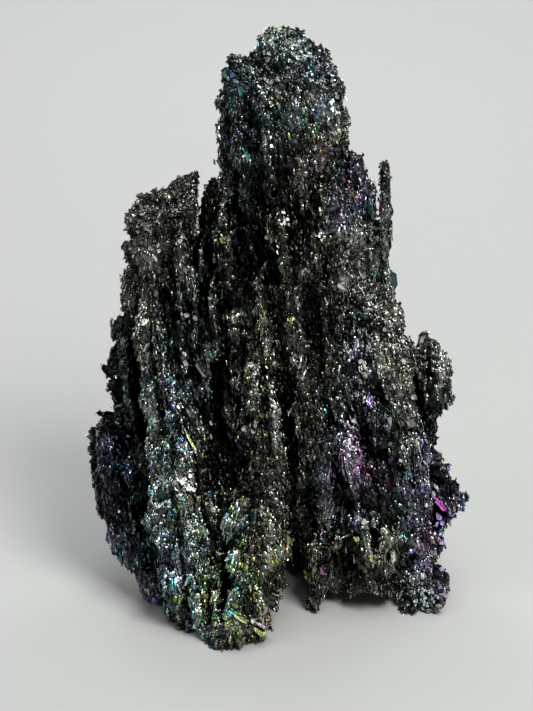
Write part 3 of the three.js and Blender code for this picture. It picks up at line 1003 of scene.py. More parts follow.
@dataclass
class Crust:
    """The tiny crystals that cover the whole cluster, in one piece for each side."""

    skin: Skin
    count: int = 57000
    sole_height: float = 0.3 * MM
    sole_slope: float = -0.4
    groove_chance: float = 0.25
    size_spread: float = 0.26
    coarse_spread: float = 0.38
    coarse_size: float = 6 * MM
    flare: tuple[float, float] = (-0.40, 0.10)
    stray: float = 0.24
    scatter: float = 0.40
    taper_spread: float = 0.2
    narrowest: float = 0.15
    foot_width: tuple[float, float] = (0.6, 1)
    unevenness: float = 0.08
    sink: float = 0.55
    full_grown: float = 4.0 * MM
    least_grown: float = 0.6
    stubby: tuple[float, float, float] = (0.25, 0.25, -0.45)
    facet_share: float = 0.15
    tone: float = 0.285
    tone_spread: float = 0.85
    tone_range: tuple[float, float] = (0.003, 0.9)
    finish: CrystalFinish = CrystalFinish("rainbow crystal crust")
    tarnish: Tarnish = Tarnish(seed=50)
    seed: int = 9
    pieces: list[bpy.types.Object] = field(default_factory=list)

    def build(self, depths: Depths) -> None:
        """Grows the crystals on the skin and joins them into one piece for each side.

        Args:
            depths: How shut in the cluster's places are.
        """
        rng = np.random.default_rng(self.seed)
        places, normals, shade, room = self.seats(rng)
        corners = self.crystals(places, normals, room, rng)
        colours = self.colours(places, shade, depths, rng)
        for name, chosen in by_side(places):
            self.pieces.append(self.side(f"crust_{name}", corners[chosen], colours[chosen]))

    def seats(self, rng: np.random.Generator) -> tuple[np.ndarray, ...]:
        """Picks where the crystals grow.

        Args:
            rng: The source of chance.

        Returns:
            The places on the skin, and its directions outward, shade and depth of solid there.
        """
        skin = self.skin
        sole = (skin.places[:, 2] < self.sole_height) & (skin.normals[:, 2] < self.sole_slope)
        chance = np.where(sole, 0, self.groove_chance + skin.shade)
        chosen = rng.choice(len(chance), self.count, replace=False, p=chance / chance.sum())
        jitter = rng.uniform(-0.5, 0.5, (self.count, 3)) * skin.voxel
        found = (skin.normals[chosen], skin.shade[chosen], skin.room[chosen])
        return skin.places[chosen] + jitter, *found

    def crystals(
        self, places: np.ndarray, normals: np.ndarray, room: np.ndarray, rng: np.random.Generator
    ) -> np.ndarray:
        """Shapes every crystal.

        Args:
            places: Where they grow.
            normals: The directions outward there.
            room: How deep the solid is there.
            rng: The source of chance.

        Returns:
            Eight corners for each crystal.
        """
        count = len(places)
        habits = [member.value for member in Habits]
        shares = np.array([habit.share for habit in habits])
        kind = rng.choice(len(habits), count, p=shares / shares.sum())
        length, width, thickness, taper, slant = (
            np.array([getattr(habit, name) for habit in habits])[kind]
            for name in ("length", "width", "thickness", "taper", "slant")
        )
        grown = np.exp(self.size_spread * rng.normal(0, 1, (count, 3)))
        coarse = clouds(places, self.coarse_size, Pattern.GROWTH)
        coarse = np.exp(self.coarse_spread * coarse)[:, None]
        coarse *= np.clip(room / self.full_grown, self.least_grown, 1)[:, None]
        for patch in self.skin.calm:
            coarse *= patch.gain ** (patch.weight(places) / 2)[:, None]
        half = np.stack([width, thickness, length], axis=1) / 2 * grown * coarse
        half *= 1 + np.clip(normals[:, 2:], 0, 1) * self.stubby

        upward = np.array([LEAN, 0, 1.0]) + self.stray * rng.normal(0, 1, (count, 3))
        inward = (upward * normals).sum(1, keepdims=True) * normals
        along = unit(unit(upward - inward) + rng.uniform(*self.flare, (count, 1)) * normals)
        facing = unit(normals + self.scatter * rng.normal(0, 1, (count, 3)))
        across = unit(np.cross(along, facing))
        facing = np.cross(across, along)

        shape = np.repeat(CORNERS[None], count, axis=0)
        top = shape[:, :, 2:] > 0
        narrow = taper + self.taper_spread * rng.normal(0, 1, count)
        narrow = np.clip(narrow, self.narrowest, 1)[:, None, None]
        foot = rng.uniform(*self.foot_width, (count, 1, 1))
        shape[:, :, :2] *= np.where(top, narrow, foot)
        skew = (slant * rng.uniform(-1, 1, count))[:, None]
        shape[:, :, 2] += skew * shape[:, :, 0]
        shape += self.unevenness * rng.normal(0, 1, shape.shape)
        shape *= half[:, None, :]
        base = places + along * (half[:, 2:] * (1 - 2 * self.sink))
        corners = (
            base[:, None, :]
            + shape[:, :, :1] * across[:, None, :]
            + shape[:, :, 1:2] * facing[:, None, :]
            + shape[:, :, 2:] * along[:, None, :]
        )
        corners[:, :, 2] = np.maximum(corners[:, :, 2], 0)
        return corners

    def colours(
        self, places: np.ndarray, shade: np.ndarray, depths: Depths, rng: np.random.Generator
    ) -> np.ndarray:
        """Each crystal's colour, with painted light and shade in it.

        Args:
            places: Where the crystals grow.
            shade: How much of its tone each keeps under the painted shade of its groove.
            depths: How shut in the cluster's places are.
            rng: The source of chance.

        Returns:
            One linear colour for each crystal.
        """
        tint = self.tarnish.colours(places, rng)
        tone = self.tone * np.exp(self.tone_spread * rng.normal(0, 1, len(places)))
        # painted shade of the grooves, and painted light and shade of the patches and clefts
        tone *= shade * tone_with_painted_light(places, depths)
        return tint * np.clip(tone, *self.tone_range)[:, None]

    def side(self, name: str, corners: np.ndarray, colours: np.ndarray) -> bpy.types.Object:
        """Joins some of the crystals into one piece.

        Args:
            name: The piece's name.
            corners: Eight corners for each of its crystals.
            colours: One colour for each of its crystals.

        Returns:
            The piece.
        """
        count = len(corners)
        quads = (np.arange(count)[:, None, None] * len(CORNERS) + FACES).reshape(-1, 4)
        mesh = quad_mesh(name, corners.reshape(-1, 3), quads)
        rounded = np.random.default_rng(count).random(count) > self.facet_share
        mesh.polygons.foreach_set("use_smooth", np.repeat(rounded, len(FACES)))
        paint(mesh, np.repeat(colours, len(CORNERS), axis=0), "POINT")
        lay_out(mesh, np.repeat(np.arange(count), len(FACES)))
        return place_piece(name, mesh, self.finish)


# ---------------------------------------------------------------- show crystals


@dataclass(frozen=True)
class ShowCrystal:
    """One larger crystal, placed as the viewpoint sees it, with sizes in mm and turns in degrees."""

    across: float
    up: float
    length: float
    width: float
    turn: float
    tint: Tint
    tone: float = 0.5
    depth: float = 0.75
    glints: bool = False
    thickness: float = 0.5


@dataclass(frozen=True)
class Sparkle:
    """A close group of small bright crystals, placed as the viewpoint sees it, with sizes in mm."""

    name: str
    across: float
    up: float
    half_width: float
    half_height: float
    count: int
    tint: Tint = Tint.SILVER
    tone: float = 0.03
    depth: float = 0.3
    longest: float = 1.2
    widest: float = 0.8
    thickness: float = 0.8
    most_turn: float = 35
    least_size: float = 0.5

    def crystals(self) -> list[ShowCrystal]:
        """The group's crystals, scattered within its half sizes."""
        rng = np.random.default_rng(seed_at(self.across, self.up))
        group = []
        for _ in range(self.count):
            across = self.across + self.half_width * rng.uniform(-1, 1)
            up = self.up + self.half_height * rng.uniform(-1, 1)
            length = self.longest * rng.uniform(self.least_size, 1)
            width = self.widest * rng.uniform(self.least_size, 1)
            turn = rng.uniform(-self.most_turn, self.most_turn)
            look = (self.tint, self.tone, self.depth, True, self.thickness)
            group.append(ShowCrystal(across, up, length, width, turn, *look))
        return group


# Each group's middle and half sizes, in mm, and how many crystals it has.
SPARKLES = (
    Sparkle("dome top", 0.0, 44.4, 0.8, 1.2, 4),
    Sparkle("dome", 0.3, 41.6, 0.8, 1.4, 6),
    Sparkle("dome front", 1.9, 39.6, 0.4, 1.6, 4),
    Sparkle("tower right", 10.2, 38.8, 0.6, 1.8, 4),
    Sparkle("tower foot", 2.8, 20.1, 0.8, 1.2, 9, tone=0.07, longest=0.8, widest=0.45),
    Sparkle("tower foot left", 1.4, 15.4, 0.6, 0.8, 5, tone=0.09, longest=0.9, widest=0.6),
    Sparkle("right slope", 14.5, 11.9, 0.8, 1.2, 5),
    Sparkle("right flank", 17.8, 4.2, 0.5, 0.9, 3),
    Sparkle("left shoulder streak", -16.4, 14.8, 0.5, 1.4, 4),
    Sparkle("left shoulder", -12.8, 17.1, 0.7, 0.9, 4),
    Sparkle("left pillar top", -11.3, 5.2, 0.8, 0.8, 4),
    Sparkle("left pillar", -12.1, -18.8, 1.3, 1.2, 14, tone=0.12, longest=1.0, widest=0.8),
    Sparkle("front ridge", -2.6, -10.5, 1.0, 1.1, 6),
    Sparkle("right shoulder", 14.0, -2.4, 0.7, 1.8, 8),
    Sparkle("right shoulder top", 15.1, 0.3, 0.6, 0.7, 4),
    Sparkle("left foot", -12.8, -31.7, 0.9, 1.2, 6),
    Sparkle("right foot", 15.0, -25.7, 1.2, 0.7, 4, Tint.GREEN),
    Sparkle("right foot edge", 20.5, -33.8, 2.5, 1.5, 5, Tint.TEAL),
    Sparkle("right foot lump", 24.2, -36.3, 1.6, 1.7, 24, Tint.TEAL, 0.042, 0.2, 0.9, 0.7),
    Sparkle("tower left", -5.4, 35.5, 0.9, 1.5, 7, Tint.TEAL, 0.016, 0.8, 0.7, 0.45),
    Sparkle("tower front", 5.4, 35.4, 0.4, 1.2, 4, Tint.GREEN, 0.02, 0.7, 0.8, 0.4),
)

# The outline of half a show crystal, as parts of its half width and half length, from tip to tip.
BLADE = ((0, 1), (1, 0.55), (1, -0.55), (0, -1))
RING = len(BLADE) * 2 - 2  # the corners all round the outline


@dataclass
class ShowCrystals:
    """The larger crystals that catch the eye, each seated in the crust."""

    crust: Crust
    finish: CrystalFinish = CrystalFinish(
        "rainbow show crystals", polish=(0.12, 0.28), clouding=0.45, striation=0.4
    )
    crystals: tuple[ShowCrystal, ...] = (
        # the tower
        ShowCrystal(-5.1, 41.3, 1.0, 0.7, 0, Tint.BLUE, 0.028, 0.9, True),
        ShowCrystal(-3.8, 39.2, 1.8, 0.8, 15, Tint.TEAL, 0.4, 0.7),
        ShowCrystal(-1.4, 37.4, 2.2, 1.1, 25, Tint.ROSE, 0.08, 0.5),
        ShowCrystal(6.5, 38.5, 1.5, 1.0, 35, Tint.SILVER, 0.16, 0.1),
        ShowCrystal(7.4, 37.2, 1.8, 1.1, 40, Tint.SILVER, 0.18, 0.1),
        ShowCrystal(8.2, 36.0, 1.4, 1.0, 30, Tint.SILVER, 0.24, 0.1),
        ShowCrystal(-2.8, 29.4, 1.2, 0.8, 0, Tint.TEAL, 0.4, 0.8),
        ShowCrystal(-5.6, 31.6, 1.1, 0.7, 20, Tint.VIOLET, 0.2, 0.7),
        ShowCrystal(6.8, 42.0, 1.6, 0.9, 25, Tint.TEAL, 0.3, 0.6),
        ShowCrystal(-2.2, 42.4, 0.8, 0.5, 0, Tint.SILVER, 0.044, 0, True),
        ShowCrystal(-6.7, 46.3, 1.3, 1.1, 0, Tint.TEAL, 0.3, 0.5),
        ShowCrystal(0.7, 37.2, 0.9, 0.4, 30, Tint.LIME, 0.02, 0.7, True),
        # the right step and slope
        ShowCrystal(11.3, 26.4, 1.4, 0.8, 15, Tint.MAGENTA, 0.024, 0.75, True),
        ShowCrystal(13.2, 27.6, 1.5, 0.6, 5, Tint.VIOLET, 0.016, 0.75, True),
        ShowCrystal(12.6, 23.9, 2.1, 0.4, 40, Tint.LIME, 0.5, 0.75),
        ShowCrystal(15.2, 21.6, 1.9, 0.8, 10, Tint.TEAL, 0.3, 0.7),
        ShowCrystal(18.7, 11.0, 2.7, 1.5, 10, Tint.TEAL, 0.12, 0.6),
        ShowCrystal(15.2, 1.6, 1.4, 0.7, 20, Tint.ROSE, 0.024, 0.6, True),
        ShowCrystal(13.8, -2, 1.3, 0.4, 10, Tint.SILVER, 0.052, 0.05, True),
        ShowCrystal(21.7, -6.2, 1.0, 0.8, 10, Tint.SILVER, 0.04, 0.1, True),
        ShowCrystal(19.2, -5.9, 0.9, 0.6, 0, Tint.SILVER, 0.04, 0.1, True),
        ShowCrystal(20.2, -0.9, 1.0, 0.7, 20, Tint.SILVER, 0.04, 0.1, True),
        ShowCrystal(12.9, -9.8, 1.0, 0.8, 0, Tint.SILVER, 0.04, 0.1, True),
        ShowCrystal(21.3, -9.8, 1.7, 1.1, 20, Tint.SILVER, 0.4, 0.1),
        ShowCrystal(18.2, -9.7, 2.2, 0.6, 5, Tint.TEAL, 0.5, 0.25),
        ShowCrystal(24.9, -5.6, 0.8, 0.5, -30, Tint.SILVER, 0.03, 0.1, True),
        # the left shoulder and pillar
        ShowCrystal(-6.5, 17.2, 1.1, 0.7, 20, Tint.LIME, 0.5, 0.7),
        ShowCrystal(-9.8, -2.3, 3.0, 0.6, 35, Tint.SILVER, 0.018, 0.1, True, 0.9),
        ShowCrystal(-12.0, -1.2, 1.2, 0.7, 20, Tint.SILVER, 0.04, 0.1, True),
        ShowCrystal(-12.2, 0.2, 1.0, 0.6, 20, Tint.SILVER, 0.040, 0.1, True),
        ShowCrystal(-14.2, -3.6, 1.1, 0.7, 15, Tint.TEAL, 0.020, 0.85, True),
        ShowCrystal(-11.3, -13.1, 4.2, 0.42, 25, Tint.LIME, 0.11, 0.7, True, 2.0),
        ShowCrystal(-10.7, -14.4, 0.9, 0.4, 25, Tint.SILVER, 0.080, 0.2, True, 2.1),
        ShowCrystal(-11.4, -8.3, 1.6, 0.4, 30, Tint.SILVER, 0.9, 0.1, thickness=1.2),
        ShowCrystal(-8.2, -10.0, 0.8, 0.6, 0, Tint.SILVER, 0.048, 0.05, True),
        ShowCrystal(-8.2, -12.0, 0.9, 0.7, 0, Tint.SILVER, 0.5, 0.1),
        ShowCrystal(-12.4, -19.2, 1.0, 0.6, 10, Tint.SILVER, 0.040, 0, True),
        ShowCrystal(-20.7, -12.8, 1.3, 0.6, 15, Tint.MAGENTA, 0.25, 0.7),
        ShowCrystal(-21.6, -22.9, 2.0, 0.5, -55, Tint.SILVER, 0.035, 0.1, True, 0.8),
        ShowCrystal(-20.5, -11.9, 0.7, 0.5, 60, Tint.MAGENTA, 0.03, 0.7, True),
        ShowCrystal(-21.2, -27.5, 0.8, 0.5, 80, Tint.VIOLET, 0.05, 0.85, True),
        ShowCrystal(-22.7, -20.9, 1.3, 1.0, 10, Tint.VIOLET, 0.006, 0.85, True),
        ShowCrystal(-11.3, -21.6, 1.4, 0.9, 10, Tint.GOLD, 0.010, 0.75, True),
        ShowCrystal(-10.9, -19.9, 0.9, 0.5, 70, Tint.GOLD, 0.03, 0.75, True),
        ShowCrystal(-6.4, -19.9, 0.8, 0.7, 0, Tint.GOLD, 0.012, 0.8, True),
        ShowCrystal(-8.7, -5.1, 1.0, 0.6, 15, Tint.BLUE, 0.014, 0.9, True),
        ShowCrystal(-8.5, -20.6, 1.0, 0.7, 20, Tint.BLUE, 0.012, 0.9, True),
        ShowCrystal(-17.4, -29.8, 1.5, 0.8, 10, Tint.TEAL, 0.45, 0.85),
        # the middle
        ShowCrystal(-0.7, -8.7, 1.2, 0.7, 35, Tint.GOLD, 0.25, 0.8),
        ShowCrystal(-3.8, -13.3, 1.6, 0.9, 25, Tint.BLUE, 0.1, 0.95),
        ShowCrystal(-2.1, -14.3, 1.0, 0.4, -15, Tint.LIME, 0.6, 0.8),
        ShowCrystal(-2.2, -10.4, 0.8, 0.7, 0, Tint.SILVER, 0.052, 0, True),
        ShowCrystal(1.6, -28.6, 2.4, 1.1, 10, Tint.GREEN, 0.3, 0.7),
        ShowCrystal(3.0, -27.2, 1.9, 0.7, 5, Tint.LIME, 0.35, 0.75),
        # the front foot
        ShowCrystal(-12.9, -31.8, 1.4, 0.7, 20, Tint.SILVER, 0.040, 0.05, True),
        ShowCrystal(-3.5, -30.9, 0.9, 0.4, 0, Tint.LIME, 0.9, 0.8, thickness=1.0),
        ShowCrystal(-2.9, -31.2, 0.9, 0.5, -10, Tint.LIME, 0.9, 0.9, thickness=1.0),
        ShowCrystal(-2.3, -34.2, 1.2, 0.5, 10, Tint.GOLD, 0.8, 0.8),
        ShowCrystal(-1.8, -35.2, 1.0, 0.5, -15, Tint.LIME, 0.9, 0.9),
        ShowCrystal(-7.0, -36.0, 1.1, 0.7, 25, Tint.LIME, 0.8, 0.55),
        ShowCrystal(-4.6, -36.8, 1.4, 0.9, 30, Tint.LIME, 0.4, 0.7),
        ShowCrystal(-4.1, -39.1, 2.8, 0.9, 55, Tint.LIME, 0.055, 0.6, True, 1.6),
        ShowCrystal(-1.3, -40.8, 3.0, 1.1, 55, Tint.LIME, 0.06, 0.8, True, 1.8),
        ShowCrystal(-0.9, -40.1, 2.6, 0.5, 55, Tint.ROSE, 0.056, 0.3, True, 1.9),
        ShowCrystal(-2.1, -39.5, 1.0, 0.7, 55, Tint.SILVER, 0.064, 0.1, True, 1.9),
        ShowCrystal(-8.2, -43.0, 1.0, 0.8, 0, Tint.BLUE, 0.2, 0.85),
        ShowCrystal(-14.6, -39.2, 0.9, 0.7, 0, Tint.GREEN, 0.036, 0.4, True),
        ShowCrystal(-16.5, -36.0, 1.6, 1.0, 10, Tint.VIOLET, 0.35, 0.85),
        ShowCrystal(-8.2, -39.0, 1.4, 1.0, 10, Tint.BLUE, 0.3, 0.85),
        # the right foot and lobe
        ShowCrystal(13.2, -27.3, 1.1, 0.9, 0, Tint.LIME, 0.06, 0.8, True, 1.3),
        ShowCrystal(8.3, -26.0, 1.8, 0.5, 10, Tint.MAGENTA, 0.03, 0.8, True),
        ShowCrystal(25.8, -31.7, 1.0, 0.7, 80, Tint.VIOLET, 0.07, 0.6, True, 1.5),
        ShowCrystal(25.4, -34.6, 1.7, 1.3, 30, Tint.VIOLET, 0.05, 0.65, True, 1.6),
        ShowCrystal(8.1, -32.0, 1.5, 0.5, 0, Tint.MAGENTA, 0.020, 0.65, True),
        ShowCrystal(18.0, -18.0, 1.5, 0.8, 5, Tint.MAGENTA, 0.10, 0.95),
        ShowCrystal(18.6, -19.2, 1.2, 0.7, -15, Tint.MAGENTA, 0.06, 0.95),
        ShowCrystal(25.3, -22.0, 3.6, 0.9, 40, Tint.MAGENTA, 0.045, 0.93, True, 1.6),
        ShowCrystal(24.5, -20.6, 1.0, 0.8, 40, Tint.SILVER, 0.04, 0.1, True, 1.5),
        ShowCrystal(25.4, -24.0, 1.4, 1.0, 10, Tint.VIOLET, 0.07, 0.65, True, 1.5),
        ShowCrystal(25.2, -25.2, 1.3, 0.8, -20, Tint.VIOLET, 0.06, 0.7, True, 1.5),
        ShowCrystal(26.6, -25.7, 0.8, 0.7, 0, Tint.VIOLET, 0.08, 0.85, True, 1.7),
        ShowCrystal(26.3, -27.3, 0.9, 0.8, 0, Tint.TEAL, 0.08, 0.7, True, 1.8),
        ShowCrystal(26.6, -28.8, 0.7, 1.1, -10, Tint.VIOLET, 0.08, 0.6, True, 1.7),
        ShowCrystal(27.6, -22.4, 0.8, 0.6, 0, Tint.GOLD, 0.4, 0.7),
        ShowCrystal(26.9, -16.6, 1.1, 0.5, 0, Tint.VIOLET, 0.06, 0.8, True),
        ShowCrystal(23.6, -13.6, 1.7, 0.8, -15, Tint.VIOLET, 0.2, 0.9),
        ShowCrystal(18.3, -15.4, 1.5, 0.5, 15, Tint.MAGENTA, 0.2, 0.9),
        ShowCrystal(23.5, -21.9, 1.4, 0.6, 15, Tint.SILVER, 0.05, 0.1, True),
        ShowCrystal(21.5, -18.5, 0.7, 0.5, 0, Tint.SILVER, 0.05, 0.1, True),
        ShowCrystal(23.4, -15.9, 1.1, 0.5, 45, Tint.SILVER, 0.04, 0.1, True),
        ShowCrystal(25.0, -19.4, 1.1, 0.6, 20, Tint.SILVER, 0.04, 0.1, True),
        ShowCrystal(18.6, -30.0, 2.5, 0.7, -5, Tint.TEAL, 0.07, 0.25, True, 1.6),
        ShowCrystal(22.1, -29.5, 2.1, 0.8, 40, Tint.TEAL, 0.06, 0.3, True, 1.6),
        ShowCrystal(14.3, -24.7, 1.1, 0.9, 0, Tint.GREEN, 0.04, 0.25, True, 1.2),
        ShowCrystal(23.0, -32.7, 1.2, 0.9, 20, Tint.TEAL, 0.05, 0.25, True, 1.3),
        ShowCrystal(19.4, -35.4, 0.9, 0.8, 0, Tint.SILVER, 0.04, 0.1, True),
        ShowCrystal(20.3, -33.2, 1.6, 0.5, 20, Tint.SILVER, 0.03, 0.1, True),
        ShowCrystal(19.8, -15.4, 1.2, 0.8, 20, Tint.SILVER, 0.03, 0.1, True),
        ShowCrystal(24.5, -34.6, 1.3, 0.9, 30, Tint.VIOLET, 0.010, 0.5, True, 0.8),
        ShowCrystal(25.8, -35.3, 1.2, 0.9, -20, Tint.VIOLET, 0.6, 0.45, thickness=0.8),
        ShowCrystal(24.3, -36.1, 1.1, 0.8, 10, Tint.TEAL, 0.3, 0.3, thickness=0.8),
        ShowCrystal(25.4, -36.8, 1.3, 0.8, 50, Tint.SILVER, 0.4, 0.1, thickness=0.8),
        ShowCrystal(24.0, -37.5, 1.1, 0.8, -35, Tint.TEAL, 0.35, 0.25, thickness=0.8),
        ShowCrystal(6.5, -24.5, 1.2, 0.8, 0, Tint.ROSE, 0.35, 0.4),
        ShowCrystal(13.4, -19.0, 1.1, 0.5, 10, Tint.ROSE, 0.35, 0.35),
    )
    sparkles: tuple[Sparkle, ...] = SPARKLES
    bow: float = 0.36
    nearer: tuple[float, ...] = (1, 0.97, 0.94, 0.90)
    unevenness: float = 0.15
    ridge: float = 0.35
    glint_ridge: float = 0.06
    wobble: float = 0.08
    glint_wobble: float = 0.03
    back_size: float = 1.1
    front_size: float = 0.9
    sink: float = 0.15 * MM
    shading: float = 0.45
    brightest: float = 0.95

    def build(self, viewpoint: "Viewpoint", lamp: Vector) -> None:
        """Seats each crystal where the viewpoint sees it.

        Args:
            viewpoint: The camera's place and the directions that it looks.
            lamp: Where the main lamp hangs.
        """
        trees = [self.tree_of(piece) for piece in self.crust.pieces + self.crust.skin.pieces]
        corners, colours = [], []
        grouped = [crystal for sparkle in self.sparkles for crystal in sparkle.crystals()]
        for crystal in (*self.crystals, *grouped):
            aims = ((crystal.across * MM * part, crystal.up * MM * part) for part in self.nearer)
            seats = (viewpoint.seen(across, up, trees) for across, up in aims)
            seat = next((found for found in seats if found is not None), None)
            if seat is None:
                log.info("no seat for the show crystal at %s, %s", crystal.across, crystal.up)
                continue
            rng = np.random.default_rng(seed_at(crystal.across, crystal.up))
            corners.append(self.corners(crystal, seat, viewpoint, lamp, rng))
            film = 1 - crystal.depth * (1 - np.array(crystal.tint.value))
            shading = np.exp(self.shading * rng.normal(0, 1, (2 * RING, 1)))
            colours.append(np.clip(film * crystal.tone * shading, 0, self.brightest))
        mesh = self.joined(np.array(corners), np.array(colours))
        place_piece("show_crystals", mesh, self.finish)

    @staticmethod
    def tree_of(piece: bpy.types.Object) -> BVHTree:
        """The piece's faces, sorted for finding where a line meets them."""
        mesh = piece.data
        return BVHTree.FromPolygons(points_of(mesh, "co").tolist(), [f.vertices for f in mesh.polygons])

    def corners(
        self,
        crystal: ShowCrystal,
        seat: Vector,
        view: "Viewpoint",
        lamp: Vector,
        rng: np.random.Generator,
    ) -> np.ndarray:
        """Shapes one crystal, facing the viewpoint and turned a little at random.

        Args:
            crystal: Its sizes and turn.
            seat: The point of the crust that it grows at.
            view: The viewpoint that it faces.
            lamp: The place of the lamp that it mirrors, if it glints.
            rng: The source of chance.

        Returns:
            Its twelve corners, the six at its back first.
        """
        turn = math.radians(crystal.turn)
        right, up, back = (np.array(axis) for axis in view.axes())
        mirroring = (view.place() - seat).normalized() + (lamp - seat).normalized()
        facing = np.array(mirroring) if crystal.glints else back - self.bow * up
        ridge = self.glint_ridge if crystal.glints else self.ridge
        wobble = self.glint_wobble if crystal.glints else self.wobble
        facing = unit(unit(facing) + wobble * rng.normal(0, 1, 3))
        along = up * math.cos(turn) - right * math.sin(turn)
        across = unit(np.cross(along, facing))
        along = np.cross(facing, across)
        half = np.array([crystal.width, crystal.length]) / 2 * MM
        ring = np.array(BLADE + tuple((-x, y) for x, y in BLADE[2:0:-1]), float)
        ring = (ring + self.unevenness * rng.normal(0, 1, ring.shape)) * half
        flat = ring[:, :1] * across + ring[:, 1:] * along
        depth = crystal.thickness * MM
        middle = np.array(seat) - back * self.sink
        lid = middle + flat * self.front_size + facing * depth / 2
        lid[[0, RING // 2]] += facing * ridge * half[0]
        return np.concatenate([middle + flat * self.back_size - facing * depth, lid])

    @staticmethod
    def joined(corners: np.ndarray, colours: np.ndarray) -> bpy.types.Mesh:
        """Joins the crystals into one mesh.

        Args:
            corners: Twelve corners for each crystal.
            colours: One colour for each of their corners.

        Returns:
            The painted mesh.
        """
        walls = [(i + RING, (i + 1) % RING + RING, (i + 1) % RING, i) for i in range(RING)]
        back = [(0, 1, 2, 3), (0, 3, 4, 5)]
        front = [(a + RING, d + RING, c + RING, b + RING) for a, b, c, d in back]
        faces = np.array(walls + front + back)
        quads = (np.arange(len(corners))[:, None, None] * 2 * RING + faces).reshape(-1, 4)
        mesh = quad_mesh("show_crystals", corners.reshape(-1, 3), quads)
        mesh.shade_flat()
        paint(mesh, colours.reshape(-1, 3), "POINT")
        lay_out(mesh, np.repeat(np.arange(len(corners)), len(faces)))
        return mesh


# ---------------------------------------------------------------- the studio


@dataclass(frozen=True)
class Softbox:
    """One soft lamp, given by where it hangs round the specimen."""

    name: str
    turn: float
    height: float
    distance: float
    size: float
    power: float
    colour: tuple[float, float, float] = (1, 1, 1)
    aim: tuple[float, float, float] = (0, 0, 42 * MM)
    spread: float = 180

    def away(self) -> Vector:
        """The direction from what it lights to the lamp."""
        turn, height = math.radians(self.turn), math.radians(self.height)
        level = math.cos(height)
        return Vector((math.sin(turn) * level, -math.cos(turn) * level, math.sin(height)))

    def place(self) -> Vector:
        """Where the lamp hangs."""
        return Vector(self.aim) + self.away() * self.distance

    def hang(self) -> None:
        """Hangs the lamp and turns it to what it lights."""
        lamp = bpy.data.lights.new(self.name, "AREA")
        lamp.size = self.size
        lamp.energy = self.power
        lamp.color = self.colour
        lamp.spread = math.radians(self.spread)
        holder = bpy.data.objects.new(self.name, lamp)
        holder.location = self.place()
        holder.rotation_euler = self.away().to_track_quat("Z", "Y").to_euler()
        bpy.context.scene.collection.objects.link(holder)


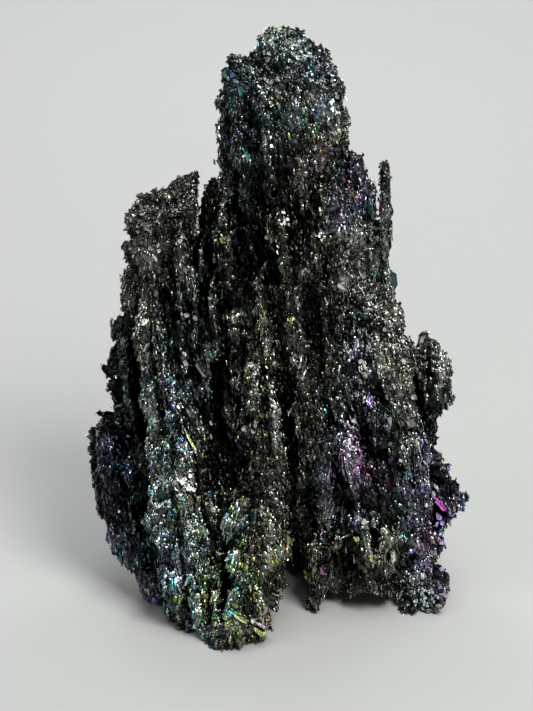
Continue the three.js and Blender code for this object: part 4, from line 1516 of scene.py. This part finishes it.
@dataclass
class Studio:
    """A plain pale floor, an even room and soft lamps."""

    floor_half: float = 2.0
    floor: PlainFinish = PlainFinish("pale floor", (0.37, 0.378, 0.378), 0.6)
    seen_room: tuple[float, float, float] = (0.70, 0.73, 0.76)
    lit_room: tuple[float, float, float] = (0.17, 0.178, 0.168)
    key: Softbox = Softbox("key", 32, 50, 0.55, 0.20, 3.6, (1.0, 0.99, 0.95))
    lamps: tuple[Softbox, ...] = (
        Softbox("left fill", -60, 35, 0.6, 0.2, 0.6),
        Softbox("top", 10, 80, 0.6, 0.3, 1.8),
        Softbox("back left", -150, 50, 0.6, 0.22, 0.7),
        Softbox("back right", 140, 50, 0.6, 0.22, 0.7),
        Softbox("floor wash", 180, 72, 0.55, 0.4, 0.35, aim=(0, 0.35, 0), spread=45),
    )

    def build(self) -> None:
        """Lays the floor, lights the room and hangs the lamps."""
        half = self.floor_half
        corners = np.array([(-half, -half, 0), (half, -half, 0), (half, half, 0), (-half, half, 0)])
        mesh = quad_mesh("floor", corners, np.array([(0, 1, 2, 3)]))
        mesh.materials.append(self.floor.material())
        floor = bpy.data.objects.new("floor", mesh)
        bpy.context.scene.collection.objects.link(floor)
        self.light_room()
        for lamp in (self.key, *self.lamps):
            lamp.hang()

    def light_room(self) -> None:
        """Makes the room pale where it is seen and dimmer where it lights the crystals."""
        world = bpy.data.worlds.new("room")
        world.use_nodes = True
        nodes, links = world.node_tree.nodes, world.node_tree.links
        seen = nodes["Background"]
        seen.inputs["Color"].default_value = (*self.seen_room, 1)
        lit = nodes.new("ShaderNodeBackground")
        lit.inputs["Color"].default_value = (*self.lit_room, 1)
        path = nodes.new("ShaderNodeLightPath")
        mix = nodes.new("ShaderNodeMixShader")
        links.new(path.outputs["Is Camera Ray"], mix.inputs["Fac"])
        links.new(lit.outputs["Background"], mix.inputs[1])
        links.new(seen.outputs["Background"], mix.inputs[2])
        links.new(mix.outputs["Shader"], nodes["World Output"].inputs["Surface"])
        bpy.context.scene.world = world


@dataclass
class Viewpoint:
    """The camera, in front of the specimen and a little above it."""

    target: Vector = field(default_factory=lambda: Vector((-1.61, 1.56, 39.63)) * MM)
    distance: float = 361.8 * MM
    height: float = 25.0
    lens: float = 124.0

    def axes(self) -> tuple[Vector, Vector, Vector]:
        """The view's directions to the right, upward and back towards the camera."""
        height = math.radians(self.height)
        away = Vector((0, -math.cos(height), math.sin(height)))
        right = Vector((1, 0, 0))
        return right, away.cross(right), away

    def place(self) -> Vector:
        """Where the camera stands."""
        return self.target + self.axes()[2] * self.distance

    def seen(self, across: float, up: float, trees: list[BVHTree]) -> Vector | None:
        """Finds the nearest point that the camera sees at one place of its view.

        Args:
            across: The place to the right of the target, measured at the target.
            up: The place above the target, measured at the target.
            trees: The faces that can be seen.

        Returns:
            The point, or nothing where the view passes the cluster by.
        """
        right, upward, _ = self.axes()
        start = self.place()
        towards = (self.target + right * across + upward * up - start).normalized()
        hits = [tree.ray_cast(start, towards) for tree in trees]
        met = [hit for hit in hits if hit[0] is not None]
        return min(met, key=lambda hit: hit[3])[0] if met else None

    def build(self) -> None:
        """Makes the camera and looks through it."""
        camera = bpy.data.cameras.new("camera")
        camera.lens = self.lens
        camera.clip_start = 10 * MM
        camera.clip_end = 10
        away = self.axes()[2]
        holder = bpy.data.objects.new("camera", camera)
        holder.location = self.place()
        holder.rotation_euler = away.to_track_quat("Z", "Y").to_euler()
        bpy.context.scene.collection.objects.link(holder)
        bpy.context.scene.camera = holder


def main() -> None:
    """Builds the specimen's pieces in order, then the studio and the camera."""
    depths = Depths(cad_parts[NODE])
    skin = Skin()
    skin.build(depths)
    crust = Crust(skin)
    crust.build(depths)
    viewpoint = Viewpoint()
    studio = Studio()
    ShowCrystals(crust).build(viewpoint, studio.key.place())
    studio.build()
    viewpoint.build()
    bpy.context.scene.view_settings.view_transform = "Standard"


if __name__ == "__main__":
    main()
